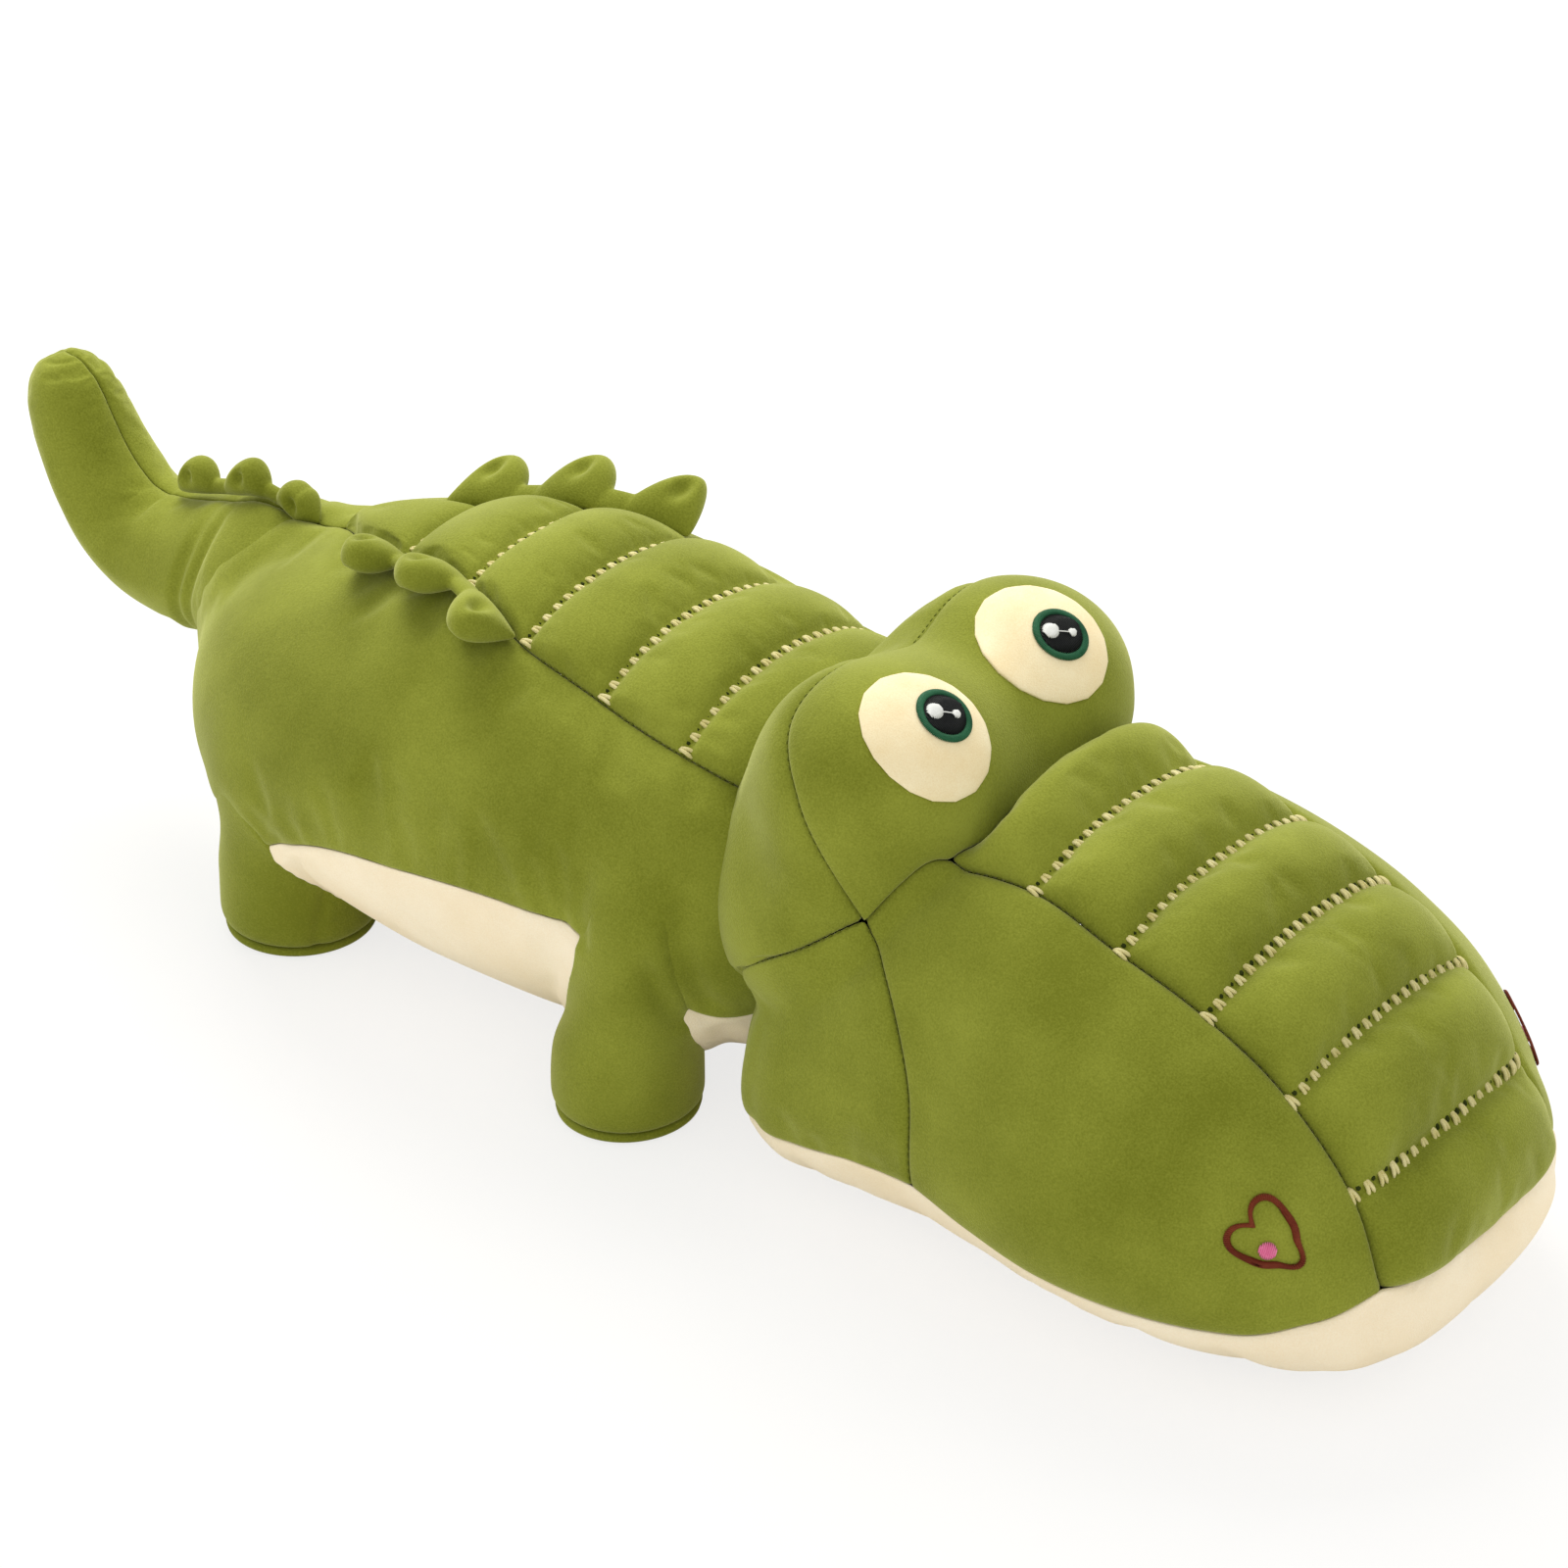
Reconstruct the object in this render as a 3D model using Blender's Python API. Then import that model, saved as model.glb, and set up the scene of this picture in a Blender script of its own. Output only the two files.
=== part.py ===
"""A stuffed toy crocodile that lies on its belly, built piece by piece.

Run it with: blender --background --python part.py

The nose points along +X, the toy's left is +Y and +Z is up. It rests on z = 0.
Every fabric panel is a thin closed shell, and the fibre filling of each chamber
is a core inside those shells. Lengths are in metres.
"""
import math

import bmesh
import bpy
import numpy as np
from mathutils import Matrix

# Cloth, seams and running clearances
cloth_thickness = 0.0020
seam_gap = 0.0004
filling_gap = 0.0022
tail_filling_gap = 0.0005
head_filling_gap = 0.0096
neck_clearance = 0.0036
tail_clearance = 0.0011
leg_clearance = 0.0009
trim_limit_share = 0.4
tiny_step = 0.0002
weld_distance = 0.00001
bisection_steps = 40
tiny = 1e-9
share_step = 0.001

# Torso
torso_rear_x = -0.216
torso_length = 0.316
torso_half_width = 0.100
torso_height = 0.184
belly_height = 0.004
torso_round_share = 2.1
quilt_height = 0.0045

# Head: the round back of the head turns in the neck about the line through head_centre
head_centre = np.array([0.121, 0.0, 0.110])
dome_radius = 0.072
dome_half_width = 0.091
eye_bump_centre = np.array([0.128, 0.040, 0.168])
eye_bump_radii = np.array([0.045, 0.048, 0.041])
eye_blend = 0.026
crease_blend = 0.004

# Snout and lower jaw
jaw_rear_x = 0.085
jaw_length = 0.287
snout_front_x = jaw_rear_x + jaw_length
jaw_half_width = 0.100
snout_top_z = 0.168
nose_share = 0.202
jaw_bottom_z = 0.0005
jaw_round_share = 2.5
jowl_share = 0.30
spine_rear_share = 0.88
spine_front_share = 1.35
spine_side_share = 0.5
snout_quilt_height = 0.0050

# Tail
tail_pivot = np.array([-0.210, 0.0, 0.1135])
tail_length = 0.112
tail_rise = 0.0705
tail_ball_radius = 0.038

# Legs
sole_thickness = 0.0030
leg_height = 0.110
leg_half_length = 0.032
leg_half_width = 0.0335
front_leg_x = 0.0365
front_leg_y = 0.0725
rear_leg_x = -0.1500
rear_leg_y = 0.0525
front_hip_y = 0.098
front_hip_z = leg_height
rear_hip_y = 0.088
rear_hip_z = 0.075

# Ridges
ridge_lobes = 3
ridge_seat = 0.0004
ridge_lobe_height = 0.0290
ridge_waist_share = 0.45
ridge_gap_share = 0.25
ridge_round_share = 0.8
ridge_lobe_thickness = 0.0150
ridge_waist_thickness = 0.0080
back_ridge_start_share = 0.235
back_ridge_end_share = 0.590
back_ridge_lean_degrees = 70
tail_ridge_height = 0.0165
tail_ridge_start_x = -0.178
tail_ridge_length = 0.086

# Face trim
patch_thickness = 0.0007
trim_gap = 0.0004
patch_gap = 0.0008
thread_thickness = 0.0005
eye_patch_half_width = 0.0268
eye_patch_half_height = 0.0290
iris_radius = 0.0112
pupil_radius = 0.0086
large_glint_radius = 0.0026
small_glint_radius = 0.0016
glint_shift = 0.0045
nostril_radius = 0.0165
nostril_line = 0.0022
nostril_dot_radius = 0.0032
nostril_tilt_degrees = 50
disc_reach = 0.035

# Points round and along each form
core_sides = 32
core_steps = 3
back_columns = 9
belly_columns = 11
head_rings = 26
crown_points = 10
crease_points = 5
middle_points = 6
snout_points = 19
cheek_points = 9
jaw_points = 17
nape_points = 13
leg_sides = 18
leg_levels = 9
tail_sides = 18
ridge_sides = 8
ridge_points = 22
patch_sides = 20
eye_sides = 16
glint_sides = 8
heart_sides = 28
head_cutter_rings = 36
head_cutter_sides = 48
tail_cutter_sides = 30
tail_cutter_rings = 8
torso_cutter_sides = 64
torso_cutter_steps = 4

# Colours
green_colour = (0.22, 0.33, 0.035)
cream_colour = (0.90, 0.78, 0.55)
fibre_colour = (0.90, 0.90, 0.88)
patch_colour = (0.95, 0.82, 0.58)
iris_colour = (0.01, 0.12, 0.05)
pupil_colour = (0.01, 0.01, 0.01)
glint_colour = (0.90, 0.90, 0.90)
nostril_colour = (0.16, 0.02, 0.008)
dot_colour = (0.80, 0.20, 0.35)
pile_roughness = 0.9
felt_roughness = 0.8
thread_roughness = 0.6


def clear_scene():
    for item in list(bpy.data.objects):
        bpy.data.objects.remove(item, do_unlink=True)


def material(name, colour, roughness):
    """One plain principled material."""
    made = bpy.data.materials.new(name)
    made.use_nodes = True
    shader = made.node_tree.nodes["Principled BSDF"]
    shader.inputs["Base Color"].default_value = (*colour, 1.0)
    shader.inputs["Roughness"].default_value = roughness
    shader.inputs["Metallic"].default_value = 0.0
    made.diffuse_color = (*colour, 1.0)
    return made


def curve_through(table, column, at):
    """Smooth curve through one column of a table whose first column is the parameter."""
    knots = np.array([row[0] for row in table], dtype=float)
    values = np.array([row[column] for row in table], dtype=float)
    at = np.clip(np.asarray(at, dtype=float), knots[0], knots[-1])
    slopes = np.gradient(values, knots)
    secants = np.diff(values) / np.diff(knots)
    for i in range(1, len(knots) - 1):
        if secants[i - 1] * secants[i] <= 0:
            slopes[i] = 0.0
        else:
            limit = 3 * min(abs(secants[i - 1]), abs(secants[i]))
            slopes[i] = np.clip(slopes[i], -limit, limit)
    cell = np.clip(np.searchsorted(knots, at, side="right") - 1, 0, len(knots) - 2)
    width = knots[cell + 1] - knots[cell]
    t = (at - knots[cell]) / width
    return ((1 + 2 * t) * (1 - t) ** 2 * values[cell] + t * (1 - t) ** 2 * width * slopes[cell]
            + t * t * (3 - 2 * t) * values[cell + 1] + t * t * (t - 1) * width * slopes[cell + 1])


def signed_power(value, power):
    return np.sign(value) * np.abs(value) ** power


def unit(vectors):
    return vectors / np.maximum(np.linalg.norm(vectors, axis=-1, keepdims=True), tiny)


def new_object(name, vertices, faces, surface, parent=None):
    """One smooth shaded object from a list of corners and faces, turned outward."""
    mesh = bpy.data.meshes.new(name)
    bm = bmesh.new()
    corners = [bm.verts.new(tuple(float(c) for c in v)) for v in vertices]
    for face in faces:
        ring = []
        for index in face:
            if not ring or corners[index] is not ring[-1]:
                ring.append(corners[index])
        if len(set(ring)) >= 3:
            bm.faces.new(ring)
    turn_outward(bm)
    bm.to_mesh(mesh)
    bm.free()
    made = bpy.data.objects.new(name, mesh)
    bpy.context.collection.objects.link(made)
    if surface:
        mesh.materials.append(surface)
    if parent:
        made.parent = parent
        made.matrix_parent_inverse = parent.matrix_world.inverted()
    return made


def grid_faces(rows, columns, start=0, around=False):
    """Quads of a grid of points; around closes each row on itself."""
    faces = []
    span = columns if around else columns - 1
    for i in range(rows - 1):
        for j in range(span):
            k = (j + 1) % columns
            faces.append((start + i * columns + j, start + i * columns + k,
                          start + (i + 1) * columns + k, start + (i + 1) * columns + j))
    return faces


def shell(name, outer, inner, surface, parent, around=False):
    """A closed sheet of cloth between two grids of the same shape."""
    rows, columns, _ = outer.shape
    count = rows * columns
    vertices = np.vstack([outer.reshape(-1, 3), inner.reshape(-1, 3)])
    faces = grid_faces(rows, columns, 0, around) + grid_faces(rows, columns, count, around)
    rims = [[i * columns + j for j in range(columns)] for i in (0, rows - 1)]
    if not around:
        rims += [[i * columns + j for i in range(rows)] for j in (0, columns - 1)]
    for rim in rims:
        pairs = list(zip(rim, rim[1:]))
        if around:
            pairs.append((rim[-1], rim[0]))
        faces += [(a, b, b + count, a + count) for a, b in pairs]
    return new_object(name, vertices, faces, surface, parent)


def ring_solid(name, rings, surface, parent, tips=True):
    """A closed body through rings of points; tips closes each end on its middle point."""
    count, sides, _ = rings.shape
    vertices = list(rings.reshape(-1, 3))
    faces = grid_faces(count, sides, 0, True)
    for end in (0, count - 1):
        first = end * sides
        if tips:
            vertices.append(rings[end].mean(axis=0))
            middle = len(vertices) - 1
            faces += [(first + j, first + (j + 1) % sides, middle) for j in range(sides)]
        else:
            faces.append([first + j for j in range(sides)])
    return new_object(name, vertices, faces, surface, parent)


def mirrored(points):
    flip = np.array([1.0, -1.0, 1.0])
    return points * flip


def cut_by(target, cutter):
    """Take the cutter's space out of the target for good."""
    modifier = target.modifiers.new("cut", "BOOLEAN")
    modifier.operation = "DIFFERENCE"
    modifier.solver = "EXACT"
    modifier.object = cutter
    bpy.context.view_layer.update()
    solved = target.evaluated_get(bpy.context.evaluated_depsgraph_get())
    mesh = bpy.data.meshes.new_from_object(solved)
    target.modifiers.clear()
    bm = bmesh.new()
    bm.from_mesh(mesh)
    bmesh.ops.remove_doubles(bm, verts=bm.verts, dist=weld_distance)
    bmesh.ops.dissolve_degenerate(bm, edges=bm.edges, dist=weld_distance)
    turn_outward(bm)
    bm.to_mesh(mesh)
    bm.free()
    target.data = mesh
    mesh.name = target.name


def mirror_of(target, twin):
    """Give target the shape that its twin on the other side has been cut to."""
    mesh = twin.data.copy()
    mesh.transform(Matrix.Diagonal((1.0, -1.0, 1.0, 1.0)))
    mesh.flip_normals()
    target.data = mesh
    mesh.name = target.name


def cut_both_sides(pieces, cutters):
    """Cut each piece by the cutters, and turn the right ones into mirrors of the cut left ones."""
    for piece in pieces:
        if not piece.name.endswith("_right"):
            for cutter in cutters:
                cut_by(piece, cutter)
    for piece in pieces:
        if piece.name.endswith("_right"):
            mirror_of(piece, bpy.data.objects[piece.name.replace("_right", "_left")])


def turn_outward(bm):
    bmesh.ops.recalc_face_normals(bm, faces=bm.faces)
    if bm.calc_volume(signed=True) < 0:
        bmesh.ops.reverse_faces(bm, faces=bm.faces)
    for face in bm.faces:
        face.smooth = True


def empty_at(name, place, parent=None):
    made = bpy.data.objects.new(name, None)
    bpy.context.collection.objects.link(made)
    made.location = tuple(place)
    bpy.context.view_layer.update()
    if parent:
        made.parent = parent
        made.matrix_parent_inverse = parent.matrix_world.inverted()
        bpy.context.view_layer.update()
    return made


# How near its pole the filling's first ring is
torso_end_share = 0.004

# Torso sections from the rear pole to the neck: length, half width, top and bottom
torso_section_shares = [
    (0.00, 0.00, 0.52, 0.52),
    (0.03, 0.42, 0.71, 0.31),
    (0.08, 0.67, 0.770, 0.180),
    (0.14, 0.81, 0.815, 0.115),
    (0.22, 0.91, 0.860, 0.070),
    (0.34, 0.98, 0.920, 0.030),
    (0.48, 1.00, 0.975, 0.010),
    (0.62, 0.99, 0.970, 0.010),
    (0.75, 0.955, 0.940, 0.025),
    (0.86, 0.890, 0.920, 0.055),
    (0.93, 0.800, 0.885, 0.100),
    (1.00, 0.620, 0.830, 0.200),
]

# Seam between back and side panels, and between side and belly panels: length, degrees from the top
back_seam_shares = [
    (0.00, 0.0), (0.135, 0.0), (0.22, 8.5), (0.319, 15.4), (0.459, 21.7), (0.584, 31.3),
    (0.716, 35.6), (0.844, 40.4), (1.00, 44.0),
]
belly_seam_shares = [
    (0.00, 180.0), (0.07, 180.0), (0.14, 156.0), (0.22, 123.0), (0.32, 106.0), (0.50, 98.0),
    (0.75, 93.5), (0.86, 110.0), (0.93, 124.0), (1.00, 130.0),
]
# Stitch lines across the back panel
back_stitch_shares = [0.319, 0.459, 0.584, 0.716, 0.844]
back_panel_start_share = 0.15
belly_panel_start_share = 0.09
torso_line_shares = [back_panel_start_share, *back_stitch_shares, 0.925, 1.0]
rump_row_shares = [0.012, 0.035, 0.07, 0.11]


def torso_point(share, angle):
    """Point on the torso at a share of its length and an angle from the top, in radians."""
    share = np.maximum(share, 0.0)
    x = torso_rear_x + torso_length * share
    root = np.sqrt(share)
    table = [(math.sqrt(row[0]), *row[1:]) for row in torso_section_shares]
    half_width = torso_half_width * curve_through(table, 1, root)
    top = belly_height + torso_height * curve_through(table, 2, root)
    bottom = belly_height + torso_height * curve_through(table, 3, root)
    middle = (top + bottom) / 2
    power = 2 / torso_round_share
    y = half_width * signed_power(np.sin(angle), power)
    z = middle + (top - bottom) / 2 * signed_power(np.cos(angle), power)
    return np.stack(np.broadcast_arrays(x, y, z), axis=-1)


def torso_surface(share, angle, lift):
    """Torso point raised along the outward normal."""
    share = np.asarray(share, dtype=float)
    angle = np.asarray(angle, dtype=float)
    before = np.maximum(share - share_step, tiny)
    along = torso_point(share + share_step, angle) - torso_point(before, angle)
    across = torso_point(share, angle + share_step) - torso_point(share, angle - share_step)
    normal = unit(np.cross(along, across))
    return torso_point(share, angle) + lift * normal


def back_seam(share):
    return np.radians(curve_through(back_seam_shares, 1, share))


def belly_seam(share):
    return np.radians(curve_through(belly_seam_shares, 1, share))


# Fullness of each quilted row: the lower, the flatter its top
quilt_round_share = 0.7


def quilt_rise(position, lines, edge):
    """Height share of a padded panel: low on its stitch lines and at its edges."""
    bounds = np.array(lines)
    cell = np.clip(np.searchsorted(bounds, position, side="right") - 1, 0, len(bounds) - 2)
    t = np.clip((position - bounds[cell]) / (bounds[cell + 1] - bounds[cell]), 0, 1)
    return np.sin(math.pi * t) ** quilt_round_share * (1 - np.abs(edge) ** 3)


def panel_rows(lines, steps):
    """Row positions: steps equal steps between neighbouring lines."""
    rows = []
    for a, b in zip(lines, lines[1:]):
        rows += [a + (b - a) * k / steps for k in range(steps)]
    return np.array(rows + [lines[-1]])


def torso_grid(rows, low, high, columns):
    """Shares and angles of a panel between two edge angles."""
    t = np.linspace(0, 1, columns)
    angle = low[:, None] + (high - low)[:, None] * t[None, :]
    share = np.repeat(rows[:, None], columns, axis=1)
    return share, angle


def build_torso(parent, green, cream, fibre):
    """Back, side and belly panels around one filling core."""
    lines = [back_panel_start_share, *back_stitch_shares, 1.0]
    half_gap = seam_gap / 2 / torso_half_width

    rows = panel_rows(torso_line_shares, core_steps)
    seam = back_seam(rows) - half_gap
    share, angle = torso_grid(rows, -seam, seam, back_columns)
    edge = angle / seam[:, None]
    rise = quilt_height * quilt_rise(share, lines, edge)[..., None]
    pieces = [shell("back_panel", torso_surface(share, angle, rise),
                    torso_surface(share, angle, -cloth_thickness), green, parent)]

    rows = np.concatenate([rump_row_shares, rows])
    low = np.maximum(back_seam(rows) + half_gap, half_gap * 2)
    high = belly_seam(rows) - half_gap * 2
    share, angle = torso_grid(rows, low, high, back_columns)
    outer = torso_surface(share, angle, 0.0)
    inner = torso_surface(share, angle, -cloth_thickness)
    pieces.append(shell("side_panel_left", outer, inner, green, parent))
    pieces.append(shell("side_panel_right", mirrored(outer), mirrored(inner), green, parent))

    rows = np.concatenate([[belly_panel_start_share], rows[rows > belly_panel_start_share + share_step]])
    low = belly_seam(rows) + half_gap * 2
    share, angle = torso_grid(rows, low, 2 * math.pi - low, belly_columns)
    pieces.append(shell("belly_panel", torso_surface(share, angle, 0.0),
                        torso_surface(share, angle, -cloth_thickness), cream, parent))

    pieces.append(torso_form("torso_stuffing", -cloth_thickness - filling_gap, fibre, parent))
    return pieces


def torso_form(name, lift, surface, parent, sides=core_sides, steps=core_steps):
    """The whole torso as one closed body, grown or shrunk by lift."""
    rows = np.concatenate([[torso_end_share], rump_row_shares, panel_rows(torso_line_shares, steps)])
    angles = np.linspace(0, 2 * math.pi, sides, endpoint=False)
    share, angle = np.meshgrid(rows, angles, indexing="ij")
    return ring_solid(name, torso_surface(share, angle, lift), surface, parent)


def ellipsoid_distance(points, centre, radii):
    """Rough signed distance to an ellipsoid, exact on its surface."""
    offset = (points - centre) / radii
    reach = np.linalg.norm(offset, axis=-1)
    slope = np.linalg.norm(offset / radii, axis=-1)
    return reach * (reach - 1) / np.maximum(slope, tiny)


def smooth_union(a, b, blend):
    h = np.clip(0.5 + 0.5 * (b - a) / blend, 0, 1)
    return b * (1 - h) + a * h - blend * h * (1 - h)


# Jaw and snout sections: share of the jaw's length, half width, top, bottom
jaw_section_shares = [
    (0.000, 0.00, 0.36, 0.26),
    (0.012, 0.50, 0.50, 0.13),
    (0.045, 0.78, 0.59, 0.060),
    (0.10, 0.92, 0.68, 0.020),
    (0.18, 0.98, 0.81, 0.000),
    (0.27, 1.00, 0.955, 0.000),
    (0.36, 1.02, 1.000, 0.000),
    (0.46, 1.075, 0.985, 0.000),
    (0.58, 1.115, 0.935, 0.000),
    (0.70, 1.080, 0.865, 0.000),
    (0.81, 0.980, 0.765, 0.010),
    (0.90, 0.83, 0.610, 0.035),
    (0.96, 0.64, 0.460, 0.080),
    (0.99, 0.37, 0.325, 0.140),
    (1.000, 0.00, 0.235, 0.205),
]


def jaw_distance(points):
    length = snout_front_x - jaw_rear_x
    share = np.clip((points[..., 0] - jaw_rear_x) / length, 0, 1)
    half_width = np.maximum(jaw_half_width * curve_through(jaw_section_shares, 1, share), tiny_step)
    height = snout_top_z - jaw_bottom_z
    top = jaw_bottom_z + height * curve_through(jaw_section_shares, 2, share)
    bottom = jaw_bottom_z + height * curve_through(jaw_section_shares, 3, share)
    half_height = np.maximum((top - bottom) / 2, tiny_step)
    rise = np.clip((points[..., 2] - (top + bottom) / 2) / half_height, -1, 1)
    y = np.abs(points[..., 1]) / (half_width * (1 - jowl_share / 2 * rise))
    z = np.abs(points[..., 2] - (top + bottom) / 2) / half_height
    reach = (y ** jaw_round_share + z ** jaw_round_share + tiny) ** (1 / jaw_round_share)
    past = np.maximum(jaw_rear_x - points[..., 0], points[..., 0] - snout_front_x)
    inside = (reach - 1) * np.minimum(half_width, half_height)
    return np.where(past > 0, np.maximum(inside, past), inside)


def head_raw(points):
    dome = ellipsoid_distance(points, head_centre, np.array([dome_radius, dome_half_width, dome_radius]))
    for side in (1.0, -1.0):
        centre = eye_bump_centre * np.array([1.0, side, 1.0])
        bump = ellipsoid_distance(points, centre, eye_bump_radii)
        dome = smooth_union(dome, bump, eye_blend)
    return smooth_union(dome, jaw_distance(points), crease_blend)


nose_depth_share = 0.571
nose_place = np.array([jaw_rear_x + jaw_length * (1 - nose_share * nose_depth_share), 0.0,
                       snout_top_z * nose_share * spine_front_share])


def spine_place(along):
    """Inner line that the head's skin is found from, at a share of its length."""
    rear = np.array([head_centre[0], 0.0, head_centre[2] * spine_rear_share])
    front = nose_place
    along = np.clip(along, 0, 1)[..., None]
    return rear * (1 - along) + front * along


def head_skin(origin, direction, lift):
    """Where lines from inside the head meet its skin, raised along the normal by lift."""
    near = np.zeros(origin.shape[:-1])
    far = np.full(origin.shape[:-1], 2 * jaw_half_width)
    for _ in range(bisection_steps):
        middle = (near + far) / 2
        outside = head_raw(origin + direction * middle[..., None]) > 0
        far = np.where(outside, middle, far)
        near = np.where(outside, near, middle)
    found = origin + direction * near[..., None]
    normal = np.stack([head_raw(found + step) - head_raw(found - step)
                       for step in np.eye(3) * tiny_step], axis=-1)
    lift = np.broadcast_to(lift, origin.shape[:-1])
    return found + unit(normal) * lift[..., None]


def head_surface(targets, lift):
    """Skin points seen from the head's inner line towards rough targets."""
    rear = head_centre[0]
    front = nose_place[0]
    origin = spine_place((targets[..., 0] - rear) / (front - rear))
    origin[..., 1] = targets[..., 1] * spine_side_share
    return head_skin(origin, unit(targets - origin), lift)


# Rings of the whole head: place in the list, share of the inner line, degrees from straight back
head_ring_shares = [
    (0.00, 0.00, 4.0), (0.26, 0.00, 72.0), (0.36, 0.10, 88.0), (0.74, 0.88, 95.0),
    (0.84, 1.00, 108.0), (1.00, 1.00, 176.0),
]


def head_form(name, lift, surface, parent, rings=head_rings, sides=core_sides):
    """The whole head as one closed body, grown or shrunk by lift."""
    place = np.linspace(0, 1, rings)
    along = curve_through(head_ring_shares, 1, place)
    polar = np.radians(curve_through(head_ring_shares, 2, place))
    around = np.linspace(0, 2 * math.pi, sides, endpoint=False)
    polar, turn = np.meshgrid(polar, around, indexing="ij")
    origin = np.repeat(spine_place(along)[:, None, :], sides, axis=1)
    sideways = np.sin(polar) * np.sin(turn)
    upward = np.sin(polar) * np.cos(turn)
    direction = np.stack([-np.cos(polar), sideways, upward], axis=-1)
    return ring_solid(name, head_skin(origin, direction, lift), surface, parent)


def head_place(shares):
    """Rough place on the head from shares of its main sizes."""
    shares = np.array(shares, dtype=float)
    return np.array([jaw_rear_x, 0.0, 0.0]) + shares * np.array([jaw_length, jaw_half_width, snout_top_z])


def seam_curve(shares, count):
    """Evenly numbered points on a smooth curve through seam points."""
    points = head_place(shares)
    steps = np.concatenate([[0], np.cumsum(np.linalg.norm(np.diff(points, axis=0), axis=1))])
    table = [(d, *p) for d, p in zip(steps / steps[-1], points)]
    at = np.linspace(0, 1, count)
    return np.stack([curve_through(table, c, at) for c in (1, 2, 3)], axis=-1)


def joined(*curves):
    """One run of points from curves that share their ends."""
    return np.vstack([curves[0]] + [curve[1:] for curve in curves[1:]])


def across_and_back(half):
    """A curve that ends on the middle line, carried on to the left side."""
    return joined(half, mirrored(half)[::-1])


def patch_between(first, last, start, end, fade=1):
    """Grid between two long edges, bent near its ends to follow the two short ones."""
    u = np.linspace(0, 1, len(first))[None, :, None]
    v = np.linspace(0, 1, len(start))[:, None, None]
    flat = first[None] * (1 - v) + last[None] * v
    bend_start = start[:, None] - (first[0] * (1 - v) + last[0] * v)
    bend_end = end[:, None] - (first[-1] * (1 - v) + last[-1] * v)
    return flat + bend_start * (1 - u) ** fade + bend_end * u ** fade


def trimmed(grid, gap, rows=True):
    """Pull the border of a grid of points in by a gap."""
    grid = grid.copy()
    for turned in ([grid, grid.swapaxes(0, 1)] if rows else [grid.swapaxes(0, 1)]):
        for edge, inner in ((0, 1), (-1, -2)):
            step = turned[inner] - turned[edge]
            reach = np.linalg.norm(step, axis=-1, keepdims=True)
            turned[edge] += unit(step) * np.minimum(gap, trim_limit_share * reach)
    return grid


# Seam points on the right half, as rough places that the skin is then found from:
# shares of the jaw's length, its half width and the snout's height
crown_share = (0.080, 0.000, 1.235)
side_seam_shares = [(0.228, -0.840, 0.807), (0.136, -0.800, 0.964), (0.070, -0.640, 1.133),
                    (0.060, -0.350, 1.253), crown_share]
crease_side_shares = [(0.228, -0.840, 0.807), (0.247, -0.770, 0.840), (0.271, -0.698, 0.886),
                      (0.303, -0.590, 0.951)]
crease_top_shares = [(0.303, -0.590, 0.951), (0.296, -0.400, 0.990), (0.291, -0.187, 1.020),
                     (0.290, 0.000, 1.020)]
crease_rear_shares = [(0.024, -0.920, 0.542), (0.129, -0.960, 0.675), (0.228, -0.840, 0.807)]
cheek_seam_shares = [(0.228, -0.840, 0.807), (0.304, -0.980, 0.675), (0.357, -1.040, 0.482),
                     (0.367, -1.040, 0.265)]
jaw_seam_rear_shares = [(-0.003, -0.600, 0.217), (0.070, -0.860, 0.205), (0.209, -1.020, 0.217),
                        (0.367, -1.040, 0.265)]
jaw_seam_front_shares = [(0.367, -1.040, 0.265), (0.542, -1.060, 0.235), (0.700, -1.050, 0.222),
                         (0.826, -0.965, 0.226), (0.921, -0.800, 0.275), (0.966, -0.575, 0.319)]
jaw_seam_tip_shares = [(0.966, -0.575, 0.319), (0.992, -0.300, 0.310), (1.000, 0.000, 0.305)]
snout_seam_shares = [(0.303, -0.590, 0.951), (0.424, -0.560, 0.935), (0.562, -0.595, 0.884),
                     (0.690, -0.590, 0.814), (0.812, -0.580, 0.696), (0.916, -0.565, 0.505),
                     (0.966, -0.575, 0.319)]
neck_side_shares = [(0.024, -0.920, 0.542), (-0.017, -0.750, 0.373), (-0.003, -0.600, 0.217)]
neck_middle_shares = [(-0.017, 0.000, 0.181)]
snout_stitch_shares = [0.424, 0.565, 0.698, 0.822, 0.930]


# How the head's patches bend: how close to its ends a patch follows them, and the nape's bulge
end_fade = 5
nape_bulge_share = 0.6


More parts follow.
